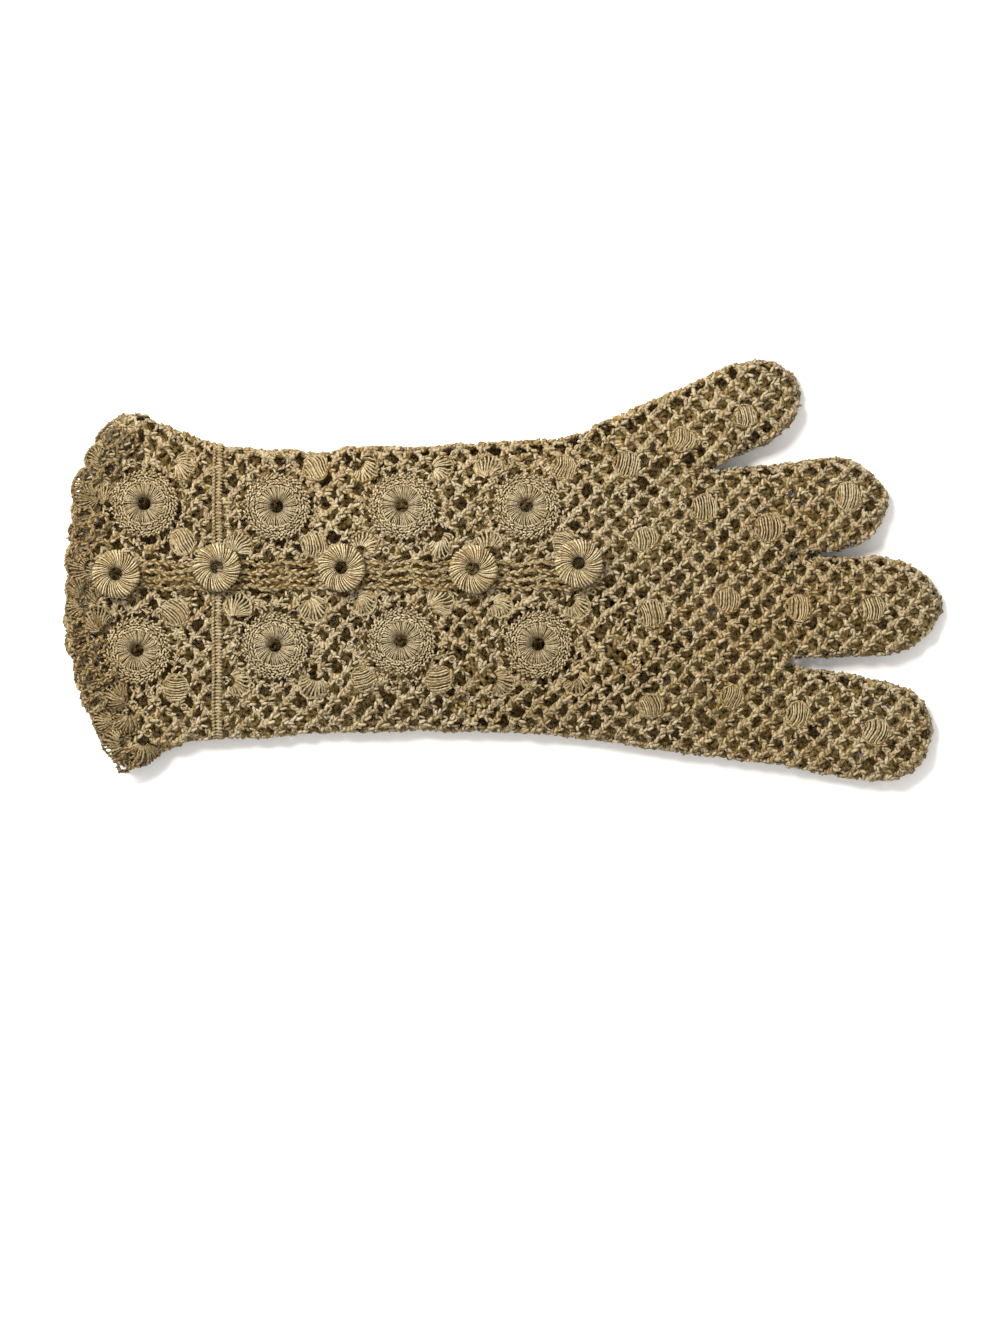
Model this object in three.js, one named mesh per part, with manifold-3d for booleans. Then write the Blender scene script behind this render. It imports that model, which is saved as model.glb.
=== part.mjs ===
import * as THREE from 'three';
import { mergeGeometries, mergeVertices } from 'three/addons/utils/BufferGeometryUtils.js';
import Module from 'manifold-3d';

// A crochet glove for the left hand. It lies on its palm with the thumb folded under it.
// Millimetres: +X runs to the fingertips, +Y to the little finger, +Z from the palm to the back.

// The glove in plan
const GLOVE_LENGTH = 202;
const PALM_WIDTH = 69;

// The crochet fabric, and the clearance between neighbouring pieces
const WALL = 1.3;
const GAP = 0.3;

// Clear heights inside the flattened glove
const FINGER_CLEAR = 4.8;
const WRIST_CLEAR = 6.4;
const THUMB_CLEAR = 4.3;
const OVER_THUMB_CLEAR = 5;

// The thumb, folded flat under the palm
const THUMB_LENGTH = 50;
const THUMB_WIDTH = 23;
const THUMB_TURN = 12;

// Rosettes: a padded ring and a round of loops about it
const ROSETTE_RADIUS = 8;
const ROSETTE_HOLE = 2.7;
const ROSETTE_HEIGHT = 2;

// Ring buttons, worked over a core
const BUTTON_RADIUS = 5.1;
const BUTTON_HOLE = 2.4;
const BUTTON_HEIGHT = 3;

// Small padded dots about the rosettes and along the fingers
const PAD_RADIUS = 2.9;
const PAD_HEIGHT = 0.9;
const PAD_MARGIN = 1.4;

// Wrist cord, button band and the shells along the cuff's edge
const CORD_WIDTH = 2.4;
const CORD_RISE = 0.8;
const BAND_WIDTH = 6.4;
const BAND_THICKNESS = 0.8;
const EDGING_WIDTH = 7;
const SHELL_COUNT = 24;
const SHELL_DEPTH = 1.8;
const RUFFLE = 1.2;
const MOUTH_BOW = 13;

// The open net, as diamonds cut through the walls
const NET_HOLE = 3;
const NET_PITCH = 10.2;
const PALM_NET_PITCH = 14;

// Facets of the round forms
const SIDE_STEPS = 4;
const HAND_CROWN_STEPS = 6;
const FINGER_CROWN_STEPS = 1;
const ROUND_STEPS = 12;
const PAD_STEPS = 7;
const SHELL_STEPS = 3;
const MOUTH_STEPS = 12;

// How far a cutting tool runs past what it cuts
const OVERRUN = 1;
// The crown stays nearly flat and falls off towards the sides
const CROWN_POWER = 3;
// The cuff's edge stays nearly straight and falls back towards the corners
const MOUTH_POWER = 2.4;
// The half width that a closed hollow still has at its very end
const LEAST_HALF = 0.2;

const FINGER_HEIGHT = FINGER_CLEAR + 2 * WALL;
const WRIST_HEIGHT = WRIST_CLEAR + 2 * WALL;
const THUMB_HEIGHT = THUMB_CLEAR + 2 * WALL;
const CROWN_HEIGHT = THUMB_HEIGHT + GAP + OVER_THUMB_CLEAR + 2 * WALL;
const BUTTON_LIFT = Math.max(GAP + BAND_THICKNESS, CORD_RISE, PAD_HEIGHT) + GAP;

// Hand and cuff from the cuff's edge on: along as a share of the glove's length, high and low
// edge as shares of the palm's width, rise from the wrist's height (0) to the crown's (1)
const SLEEVE = [
  { along: -0.02, high: 0.53, low: -0.65, rise: 0 },
  { along: 0.085, high: 0.53, low: -0.65, rise: 0 },
  { along: 0.11, high: 0.496, low: -0.6, rise: 0 },
  { along: 0.145, high: 0.455, low: -0.565, rise: 0 },
  { along: 0.177, high: 0.42, low: -0.55, rise: 0 },
  { along: 0.225, high: 0.41, low: -0.552, rise: 0.06 },
  { along: 0.292, high: 0.397, low: -0.535, rise: 0.4 },
  { along: 0.34, high: 0.418, low: -0.534, rise: 0.75 },
  { along: 0.4, high: 0.416, low: -0.529, rise: 1 },
  { along: 0.52, high: 0.436, low: -0.533, rise: 1 },
  { along: 0.6, high: 0.46, low: -0.555, rise: 0.95 },
  { along: 0.67, high: 0.425, low: -0.59, rise: 0.75 },
  { along: 0.745, high: 0.333, low: -0.62, rise: 0.25 },
  { along: 0.827, high: 0.36, low: -0.65, rise: -0.2 },
];
const MOUTH = SLEEVE[1];
const MOUTH_MIDDLE = -0.06;
const WRIST_ALONG = 0.177;
const KNUCKLE_ALONG = 0.827;

// How a finger or the thumb narrows: along as a share of its length, then shares of its half
// width and height
const BLUNT = [
  { along: 0, half: 1, tall: 1 },
  { along: 0.8, half: 0.99, tall: 1 },
  { along: 0.9, half: 0.87, tall: 0.95 },
  { along: 0.96, half: 0.64, tall: 0.85 },
  { along: 1, half: 0.24, tall: 0.6 },
];
const POINTED = [
  { along: 0, half: 1, tall: 1 },
  { along: 0.77, half: 1, tall: 1 },
  { along: 0.87, half: 0.86, tall: 0.95 },
  { along: 0.95, half: 0.52, tall: 0.8 },
  { along: 1, half: 0.14, tall: 0.5 },
];

// Fingers: from inside the hand to the tip, as shares [along, across] of the glove's length and
// the palm's width, and root, the share of that way where the finger leaves the hand
const FINGERS = [
  { name: 'little_finger', from: [0.548, 0.254], tip: [0.834, 0.629], root: 0.63, width: 0.29, narrowing: BLUNT },
  { name: 'ring_finger', from: [0.7, 0.168], tip: [0.937, 0.244], root: 0.575, width: 0.314, narrowing: POINTED },
  { name: 'middle_finger', from: [0.7, -0.129], tip: [1, -0.107], root: 0.445, width: 0.334, narrowing: POINTED },
  { name: 'index_finger', from: [0.7, -0.418], tip: [0.986, -0.558], root: 0.482, width: 0.34, narrowing: BLUNT },
];
const THUMB_ROOT = [0.43, -0.33];

// The diamonds of a finger's net: shares of the way to the tip and of the half width
const FINGER_NET = [
  { along: 0.18, side: -0.4 },
  { along: 0.3, side: 0.4 },
  { along: 0.42, side: -0.4 },
  { along: 0.54, side: 0.4 },
  { along: 0.66, side: -0.4 },
  { along: 0.78, side: 0.3 },
];

// Rosettes, and the corners [east, north] of each where a pad lies
const EAST_CORNERS = [[1, 1], [1, -1]];
const ALL_CORNERS = [...EAST_CORNERS, [-1, 1], [-1, -1]];
const ROSETTES = [
  { along: 0.094, across: 0.224, corners: EAST_CORNERS },
  { along: 0.244, across: 0.214, corners: [...EAST_CORNERS, [-1, -1]] },
  { along: 0.386, across: 0.214, corners: ALL_CORNERS },
  { along: 0.526, across: 0.214, corners: ALL_CORNERS },
  { along: 0.086, across: -0.262, corners: EAST_CORNERS },
  { along: 0.242, across: -0.246, corners: ALL_CORNERS },
  { along: 0.385, across: -0.232, corners: ALL_CORNERS },
  { along: 0.539, across: -0.242, corners: ALL_CORNERS },
];

// Buttons in a row from the cuff to the knuckles, and the band under them
const BUTTONS = [
  { along: 0.063, across: -0.01 },
  { along: 0.177, across: 0.012 },
  { along: 0.321, across: 0.009 },
  { along: 0.466, across: 0.004 },
  { along: 0.584, across: 0.023 },
];
const BAND_MIDDLE = -0.0145;
const BAND_END = 0.612;

// Pads over the knuckles, and the pads that are one piece with a finger
const KNUCKLE_PADS = [
  { along: 0.639, across: 0.35 },
  { along: 0.66, across: 0.104 },
  { along: 0.667, across: -0.141 },
  { along: 0.667, across: -0.443 },
  { along: 0.704, across: 0.436 },
  { along: 0.727, across: 0.207 },
  { along: 0.753, across: -0.095 },
  { along: 0.759, across: -0.416 },
  { along: 0.8, across: 0.144 },
];
const FINGER_PADS = {
  little_finger: { along: 0.774, across: 0.513 },
  ring_finger: { along: 0.89, across: 0.247 },
  middle_finger: { along: 0.917, across: -0.124 },
  index_finger: { along: 0.922, across: -0.533 },
};

const wasm = await Module();
wasm.setup();

function placeX(along) {
  return (along - 0.5) * GLOVE_LENGTH;
}

function placeY(across) {
  return across * PALM_WIDTH;
}

/** The table row at a share of the way, blended between its two neighbours. */
function rowAt(rows, along) {
  const found = rows.findIndex((row) => row.along >= along);
  const next = found < 0 ? rows.length - 1 : Math.max(found, 1);
  const before = rows[next - 1];
  const after = rows[next];
  const share = (along - before.along) / (after.along - before.along);
  const blend = (key) => THREE.MathUtils.lerp(before[key], after[key], share);
  return Object.fromEntries(Object.keys(before).map((key) => [key, blend(key)]));
}

/** The stations from one share of the way to another, with the table's own rows between. */
function stations(rows, from, to) {
  const between = rows.map((row) => row.along).filter((along) => along > from && along < to);
  return [from, ...between, to];
}

/** Points [across, up] round a flattened tube: flat below, round at its sides, crowned above. */
function flatSection({ low, high, side, crown, steps }, grow) {
  const middle = (low + high) / 2;
  const tall = side / 2;
  const wide = Math.min(tall, (high - low) / 2);
  const flat = (high - low) / 2 - wide;
  const reach = Math.max(wide + grow, LEAST_HALF);
  const points = [];
  for (let i = 0; i <= SIDE_STEPS; i += 1) {
    const angle = Math.PI * (i / SIDE_STEPS - 0.5);
    points.push([middle + flat + Math.cos(angle) * reach, tall + Math.sin(angle) * (tall + grow)]);
  }
  for (let i = 1; i < steps; i += 1) {
    const share = 1 - (2 * i) / steps;
    const rise = (crown - side) * (1 - Math.abs(share) ** CROWN_POWER);
    points.push([middle + share * flat, side + rise + grow]);
  }
  for (let i = 0; i <= SIDE_STEPS; i += 1) {
    const angle = Math.PI * (0.5 + i / SIDE_STEPS);
    points.push([middle - flat + Math.cos(angle) * reach, tall + Math.sin(angle) * (tall + grow)]);
  }
  return points;
}

function surface(points, index) {
  const geometry = new THREE.BufferGeometry().setFromPoints(points);
  geometry.setIndex(index);
  return geometry;
}

/** The triangles between rings of so many points, ring by ring. */
function bridge(rings, count) {
  const index = [];
  for (const [here, there] of rings) {
    for (let i = 0; i < count; i += 1) {
      const next = (i + 1) % count;
      const [a, b] = [here * count + i, here * count + next];
      const [c, d] = [there * count + next, there * count + i];
      index.push(a, b, c, a, c, d);
    }
  }
  return index;
}

/** A closed surface through rings of points, with a fan over each end. */
function loft(rings) {
  const count = rings[0].length;
  const last = rings.length - 1;
  const points = rings.flat();
  const index = bridge(rings.slice(1).map((ring, r) => [r, r + 1]), count);
  for (const end of [0, last]) {
    const centre = new THREE.Vector3();
    for (const point of rings[end]) centre.addScaledVector(point, 1 / count);
    points.push(centre);
    for (let i = 0; i < count; i += 1) {
      const edge = [end * count + i, end * count + ((i + 1) % count)];
      if (end === 0) edge.reverse();
      index.push(...edge, points.length - 1);
    }
  }
  return surface(points, index);
}

/** A closed geometry as a solid that can be joined and cut. */
function solidOf(geometry) {
  const bare = geometry.clone();
  bare.deleteAttribute('normal');
  bare.deleteAttribute('uv');
  const merged = mergeVertices(bare);
  const corners = merged.index.array;
  const kept = [];
  for (let i = 0; i < corners.length; i += 3) {
    const [a, b, c] = corners.slice(i, i + 3);
    if (a !== b && b !== c && c !== a) kept.push(a, b, c);
  }
  return new wasm.Manifold(new wasm.Mesh({
    numProp: 3,
    vertProperties: new Float32Array(merged.attributes.position.array),
    triVerts: new Uint32Array(kept),
  }));
}

function geometryOf(solid) {
  const mesh = solid.getMesh();
  const geometry = new THREE.BufferGeometry();
  geometry.setAttribute('position', new THREE.BufferAttribute(new Float32Array(mesh.vertProperties), 3));
  geometry.setIndex(new THREE.BufferAttribute(new Uint32Array(mesh.triVerts), 1));
  geometry.computeVertexNormals();
  return geometry;
}

function joined(solids) {
  return solids.reduce((whole, solid) => whole.add(solid));
}

/** The hand and cuff in one, grown or shrunk by a distance, between two stations. */
function sleeve(from, to, grow) {
  const rings = stations(SLEEVE, from, to).map((along) => {
    const row = rowAt(SLEEVE, along);
    const section = {
      low: placeY(row.low),
      high: placeY(row.high),
      side: FINGER_HEIGHT,
      crown: THREE.MathUtils.lerp(WRIST_HEIGHT, CROWN_HEIGHT, row.rise),
      steps: HAND_CROWN_STEPS,
    };
    return flatSection(section, grow).map(([y, z]) => new THREE.Vector3(placeX(along), y, z));
  });
  return solidOf(loft(rings));
}

/** A flattened tube such as a finger, between two shares of its way. */
function flatTube({ from, tip, width, height, narrowing }, start, end, grow) {
  const axis = tip.clone().sub(from);
  const length = axis.length();
  axis.normalize();
  const rings = stations(narrowing, start, end).map((along) => {
    const row = rowAt(narrowing, along);
    const section = {
      low: (-row.half * width) / 2,
      high: (row.half * width) / 2,
      side: row.tall * height,
      crown: row.tall * height,
      steps: FINGER_CROWN_STEPS,
    };
    const reach = along * length + (along === 1 ? grow : 0);
    const centre = from.clone().addScaledVector(axis, reach);
    return flatSection(section, grow).map(([side, z]) => (
      new THREE.Vector3(centre.x - axis.y * side, centre.y + axis.x * side, z)
    ));
  });
  return solidOf(loft(rings));
}

function fingerTube({ from, tip, width, narrowing }) {
  return {
    from: new THREE.Vector2(placeX(from[0]), placeY(from[1])),
    tip: new THREE.Vector2(placeX(tip[0]), placeY(tip[1])),
    width: width * PALM_WIDTH,
    height: FINGER_HEIGHT,
    narrowing,
  };
}

function thumbTube() {
  const from = new THREE.Vector2(placeX(THUMB_ROOT[0]), placeY(THUMB_ROOT[1]));
  const turn = THREE.MathUtils.degToRad(THUMB_TURN);
  const tip = new THREE.Vector2(Math.cos(turn), Math.sin(turn)).multiplyScalar(THUMB_LENGTH).add(from);
  return { from, tip, width: THUMB_WIDTH, height: THUMB_HEIGHT, narrowing: BLUNT };
}

/** The share of a tube's way that a distance makes. */
function shareOf(tube, distance) {
  return distance / tube.from.distanceTo(tube.tip);
}

/** The X of the cuff's free edge at a Y. It bows out between the cuff's corners. */
function edgeX(y) {
  const half = (placeY(MOUTH.high) - placeY(MOUTH.low)) / 2;
  const share = Math.min(Math.abs(y - placeY(MOUTH_MIDDLE)) / half, 1);
  return placeX(0) + MOUTH_BOW * share ** MOUTH_POWER;
}

/** The X of the seam between the cuff and the shells along its edge. */
function seamX(y) {
  return edgeX(y) + EDGING_WIDTH;
}

const halfCord = CORD_WIDTH / 2 / GLOVE_LENGTH;
const handFrom = WRIST_ALONG + halfCord + GAP / GLOVE_LENGTH;
const cuffTo = WRIST_ALONG - halfCord - GAP / GLOVE_LENGTH;
const wallShare = WALL / GLOVE_LENGTH;
const overrunShare = OVERRUN / GLOVE_LENGTH;
const thumb = thumbTube();
const fingers = FINGERS.map((row) => ({ name: row.name, root: row.root, tube: fingerTube(row) }));
const stumps = fingers.map(({ tube, root }) => flatTube(tube, 0, root - shareOf(tube, GAP), 0));

// The outer form of cuff, hand and finger stumps in one, on which the ornaments are seated
const form = joined([sleeve(SLEEVE[0].along, KNUCKLE_ALONG, 0), ...stumps]);
const formMesh = new THREE.Mesh(geometryOf(form), new THREE.MeshBasicMaterial());

/** How high the form's upper face is at a point. */
function heightAt(x, y) {
  const above = new THREE.Vector3(x, y, 2 * CROWN_HEIGHT);
  const hits = new THREE.Raycaster(above, new THREE.Vector3(0, 0, -1)).intersectObject(formMesh);
  return hits.length > 0 ? hits[0].point.z : 0;
}

/** The form moved up, to seat a piece that far above its upper face. */
function raised(distance) {
  return form.translate([0, 0, distance]);
}

/** A form turned about +Z from its closed profile of [radius, height]. */
function turned(profile, steps) {
  const points = profile.map(([radius, height]) => new THREE.Vector2(radius, height));
  return new THREE.LatheGeometry(points, steps).rotateX(Math.PI / 2);
}

/** A turned form set on the upper face, square to the face about its place. */
function seated(geometry, { along, across }, radius) {
  const x = placeX(along);
  const y = placeY(across);
  const [east, west] = [heightAt(x + radius, y), heightAt(x - radius, y)];
  const [north, south] = [heightAt(x, y + radius), heightAt(x, y - radius)];
  const normal = new THREE.Vector3(west - east, south - north, 2 * radius).normalize();
  const turn = new THREE.Quaternion().setFromUnitVectors(new THREE.Vector3(0, 0, 1), normal);
  const height = Math.max((east + west) / 2, (north + south) / 2, heightAt(x, y));
  return solidOf(geometry.clone().applyQuaternion(turn).translate(x, y, height));
}

/** One diamond of the net, through a wall whose middle is at this height. */
function netHole(x, y, z) {
  const depth = WALL + 2 * OVERRUN;
  return new THREE.BoxGeometry(NET_HOLE, NET_HOLE, depth).rotateZ(Math.PI / 4).translate(x, y, z);
}

/** A staggered lattice of points over a stretch of the glove. */
function lattice([west, east], [low, high], pitch) {
  const points = [];
  const rows = Math.floor((high - low) / (pitch / 2));
  for (let row = 0; row <= rows; row += 1) {
    const y = (low + high) / 2 + (row - rows / 2) * (pitch / 2);
    const shift = (row % 2) * (pitch / 2);
    for (let x = west + shift; x <= east; x += pitch) points.push([x, y]);
  }
  return points;
}

/** The pads at the corners of the rosettes, and those over the knuckles. */
function padPlaces() {
  const reach = (ROSETTE_RADIUS + PAD_RADIUS + PAD_MARGIN) * Math.SQRT1_2;
  const corners = ROSETTES.flatMap((rosette) => rosette.corners.map(([east, north]) => ({
    along: rosette.along + (east * reach) / GLOVE_LENGTH,
    across: rosette.across + (north * reach) / PALM_WIDTH,
  })));
  return [...corners, ...KNUCKLE_PADS];
}

/** True where a diamond of the net lies clear of the rosettes, buttons, pads and band. */
function isOpenNet(x, y) {
  const clear = NET_HOLE * Math.SQRT1_2;
  const isFar = (places, radius) => places.every(({ along, across }) => (
    Math.hypot(x - placeX(along), y - placeY(across)) > radius + clear
  ));
  const offBand = Math.abs(y - placeY(BAND_MIDDLE)) > BAND_WIDTH / 2 + clear || x > placeX(BAND_END) + clear;
  return offBand && isFar(ROSETTES, ROSETTE_RADIUS) && isFar(BUTTONS, BUTTON_RADIUS) && isFar(padPlaces(), PAD_RADIUS);
}

/** Diamonds through the upper wall, over a stretch from one X to another, clear of ornaments. */
function backNet(west, east, row) {
  const inset = FINGER_HEIGHT / 2 + NET_HOLE;
  const sides = [placeY(row.low) + inset, placeY(row.high) - inset];
  const places = lattice([west, east], sides, NET_PITCH).filter(([x, y]) => isOpenNet(x, y));
  return places.map(([x, y]) => netHole(x, y, heightAt(x, y) - WALL / 2));
}

/** The hand: hollow into every finger, with a recess below for the thumb and a way into it. */
function hand() {
  const outer = joined([sleeve(handFrom, KNUCKLE_ALONG, 0), ...stumps]);
  const stumpHollows = fingers.map(({ tube, root }) => (
    flatTube(tube, shareOf(tube, WALL), root + shareOf(tube, OVERRUN), -WALL)
  ));
  const hollow = joined([sleeve(handFrom - overrunShare, KNUCKLE_ALONG - wallShare, -WALL), ...stumpHollows]);
  const back = shareOf(thumb, GAP);
  const recess = flatTube(thumb, -back, 1, GAP);
  const cover = flatTube(thumb, -back - shareOf(thumb, WALL), 1, GAP + WALL);
  const passage = flatTube(thumb, -back - shareOf(thumb, WALL + OVERRUN), back, -WALL);
  return outer.subtract(recess).subtract(hollow.subtract(cover)).subtract(passage).subtract(handNet());
}

/** The diamonds through the back of the hand, and through the palm between wrist and thumb. */
function handNet() {
  const start = placeX(handFrom) + NET_HOLE;
  const narrow = rowAt(SLEEVE, handFrom);
  const inset = FINGER_HEIGHT / 2 + NET_HOLE;
  const sides = [placeY(narrow.low) + inset, placeY(narrow.high) - inset];
  const palm = lattice([start, thumb.from.x - THUMB_WIDTH / 2], sides, PALM_NET_PITCH);
  const back = backNet(start, placeX(KNUCKLE_ALONG) - NET_HOLE, narrow);
  return solidOf(mergeGeometries([...back, ...palm.map(([x, y]) => netHole(x, y, WALL / 2))]));
}

/** A small padded dot, whose underside lies this far below the face that it sits on. */
function padProfile(below) {
  return turned([
    [0, -below],
    [PAD_RADIUS, -below],
    [PAD_RADIUS, PAD_HEIGHT * 0.7],
    [PAD_RADIUS * 0.6, PAD_HEIGHT],
    [0, PAD_HEIGHT],
  ], PAD_STEPS);
}

/** A finger from its root on, open to the hand, with its net and its pad. */
function finger({ name, tube, root }) {
  const axis = tube.tip.clone().sub(tube.from);
  const across = new THREE.Vector2(-axis.y, axis.x).normalize();
  const holes = FINGER_NET.map(({ along, side }) => {
    const centre = tube.from.clone().addScaledVector(axis, THREE.MathUtils.lerp(root, 1, along));
    centre.addScaledVector(across, (side * tube.width) / 2);
    return netHole(centre.x, centre.y, FINGER_HEIGHT - WALL / 2);
  });
  const outer = flatTube(tube, root, 1, 0);
  const hollow = flatTube(tube, root - shareOf(tube, OVERRUN), 1, -WALL);
  const { along, across: side } = FINGER_PADS[name];
  const pad = solidOf(padProfile(WALL / 2).translate(placeX(along), placeY(side), FINGER_HEIGHT));
  return outer.subtract(hollow).subtract(solidOf(mergeGeometries(holes))).add(pad);
}

function thumbPiece() {
  const hollow = flatTube(thumb, -shareOf(thumb, OVERRUN), 1, -WALL);
  return flatTube(thumb, 0, 1, 0).subtract(hollow);
}

/** The space beyond the cuff's seam. */
function beyondSeam() {
  const [low, high] = [placeY(MOUTH.low), placeY(MOUTH.high)];
  const far = placeX(0) - PALM_WIDTH;
  const outline = new THREE.Shape().moveTo(far, low - PALM_WIDTH);
  outline.lineTo(seamX(low), low - PALM_WIDTH);
  for (let i = 0; i <= MOUTH_STEPS; i += 1) {
    const y = THREE.MathUtils.lerp(low, high, i / MOUTH_STEPS);
    outline.lineTo(seamX(y), y);
  }
  outline.lineTo(seamX(high), high + PALM_WIDTH);
  outline.lineTo(far, high + PALM_WIDTH);
  const prism = new THREE.ExtrudeGeometry(outline, { depth: 2 * CROWN_HEIGHT, bevelEnabled: false });
  return solidOf(prism.translate(0, 0, -CROWN_HEIGHT / 2));
}

/** The flared cuff, open at the wrist and at its mouth. */
function cuff() {
  const start = SLEEVE[0].along;
  const hollow = sleeve(start - overrunShare, cuffTo + overrunShare, -WALL);
  const net = backNet(seamX(0) + NET_HOLE, placeX(cuffTo) - NET_HOLE, rowAt(SLEEVE, cuffTo));
  return sleeve(start, cuffTo, 0).subtract(hollow).subtract(beyondSeam()).subtract(solidOf(mergeGeometries(net)));
}

/** The shells along the cuff's edge: one closed band, scalloped at its free edge and ruffled. */
function cuffEdging() {
  const section = flatSection({
    low: placeY(MOUTH.low),
    high: placeY(MOUTH.high),
    side: FINGER_HEIGHT,
    crown: WRIST_HEIGHT,
    steps: HAND_CROWN_STEPS,
  }, -WALL / 2);
  const corners = section.map(([y, z]) => new THREE.Vector3(0, y, z));
  const middle = new THREE.CurvePath();
  corners.forEach((corner, i) => middle.add(new THREE.LineCurve3(corner, corners[(i + 1) % corners.length])));
  const count = SHELL_COUNT * SHELL_STEPS;
  const rings = [];
  for (let i = 0; i < count; i += 1) {
    const point = middle.getPoint(i / count);
    const along = middle.getTangent(i / count);
    const outward = new THREE.Vector3(0, along.z, -along.y);
    const bump = Math.sin((Math.PI * (i % SHELL_STEPS)) / SHELL_STEPS);
    const lying = outward.z < 0 ? 1 + outward.z : 1;
    const length = EDGING_WIDTH - GAP - SHELL_DEPTH * (1 - bump);
    rings.push([[0, 1], [0.5, 1], [1, 1], [1, -1], [0.5, -1], [0, -1]].map(([reach, side]) => {
      const face = point.clone().addScaledVector(outward, (side * WALL) / 2);
      face.x = seamX(face.y) - GAP - reach * length;
      return face.addScaledVector(outward, RUFFLE * (bump - 0.5) * reach * reach * lying);
    }));
  }
  const links = rings.map((ring, i) => [i, (i + 1) % count]);
  return solidOf(surface(rings.flat(), bridge(links, rings[0].length)));
}

/** The ribbed cord round the wrist, between cuff and hand. It lies flat below. */
function wristCord() {
  const [from, to] = [WRIST_ALONG - halfCord, WRIST_ALONG + halfCord];
  const below = new THREE.BoxGeometry(GLOVE_LENGTH, 2 * PALM_WIDTH, 2 * CROWN_HEIGHT).translate(0, 0, -CROWN_HEIGHT);
  return sleeve(from, to, CORD_RISE)
    .subtract(sleeve(from - overrunShare, to + overrunShare, -WALL))
    .subtract(solidOf(below));
}

/** A stretch of the button band, which follows the upper face from one X to another. */
function band(west, east) {
  const strip = new THREE.BoxGeometry(east - west, BAND_WIDTH, 2 * CROWN_HEIGHT);
  strip.translate((west + east) / 2, placeY(BAND_MIDDLE), CROWN_HEIGHT);
  return solidOf(strip).intersect(raised(GAP + BAND_THICKNESS)).subtract(raised(GAP));
}

/** A padded ring with its round of loops. */
function rosette(place) {
  const hole = ROSETTE_HOLE / 2;
  const padding = ROSETTE_RADIUS * 0.69;
  const profile = [
    [hole, -OVERRUN],
    [ROSETTE_RADIUS, -OVERRUN],
    [ROSETTE_RADIUS, ROSETTE_HEIGHT * 0.4],
    [ROSETTE_RADIUS * 0.9, ROSETTE_HEIGHT * 0.6],
    [padding, ROSETTE_HEIGHT * 0.5],
    [(hole + padding) / 2, ROSETTE_HEIGHT],
    [hole, ROSETTE_HEIGHT * 0.6],
    [hole, -OVERRUN],
  ];
  return seated(turned(profile, ROUND_STEPS), place, ROSETTE_RADIUS / 2).subtract(raised(GAP));
}

/** A ring button, clear above the band and the pads beside it. */
function button(place) {
  const hole = BUTTON_HOLE / 2;
  const top = BUTTON_LIFT + BUTTON_HEIGHT;
  const profile = [
    [hole, 0],
    [BUTTON_RADIUS * 0.92, 0],
    [BUTTON_RADIUS, top - BUTTON_HEIGHT * 0.55],
    [BUTTON_RADIUS * 0.92, top - BUTTON_HEIGHT * 0.25],
    [(hole + BUTTON_RADIUS) / 2, top],
    [hole, top - BUTTON_HEIGHT * 0.4],
    [hole, 0],
  ];
  return seated(turned(profile, ROUND_STEPS), place, BUTTON_RADIUS / 2).subtract(raised(BUTTON_LIFT));
}

function pad(place) {
  return seated(padProfile(OVERRUN), place, PAD_RADIUS).subtract(raised(GAP));
}

const group = new THREE.Group();
const thread = { net: 0xb7a077, padded: 0xc4ae84, cord: 0xbda67c, edging: 0xb19a70 };

function addPiece(name, solid, color) {
  const material = new THREE.MeshStandardMaterial({ color, roughness: 0.9, metalness: 0 });
  const piece = new THREE.Mesh(geometryOf(solid), material);
  piece.name = name;
  group.add(piece);
}

addPiece('hand', hand(), thread.net);
addPiece('cuff', cuff(), thread.net);
addPiece('cuff_edging', cuffEdging(), thread.edging);
addPiece('wrist_cord', wristCord(), thread.cord);
addPiece('thumb', thumbPiece(), thread.net);
for (const row of fingers) addPiece(row.name, finger(row), thread.net);
addPiece('hand_band', band(placeX(handFrom) + GAP, placeX(BAND_END)), thread.cord);
addPiece('cuff_band', band(seamX(0) + GAP, placeX(cuffTo) - GAP), thread.cord);
ROSETTES.forEach((place, i) => addPiece(`rosette_${i + 1}`, rosette(place), thread.padded));
BUTTONS.forEach((place, i) => addPiece(`button_${i + 1}`, button(place), thread.padded));
padPlaces().forEach((place, i) => addPiece(`pad_${i + 1}`, pad(place), thread.padded));

// The origin is the middle of the glove's footprint, on the surface that it lies on
const bounds = new THREE.Box3().setFromObject(group);
const footprint = bounds.getCenter(new THREE.Vector3());
group.position.set(-footprint.x, -footprint.y, -bounds.min.z);

export default group;
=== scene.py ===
"""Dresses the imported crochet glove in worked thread, in metres, in the frame of its CAD model."""

import logging
import math
from collections import defaultdict
from dataclasses import dataclass, field, replace
from enum import Enum
from typing import Any, Callable, Sequence

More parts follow.
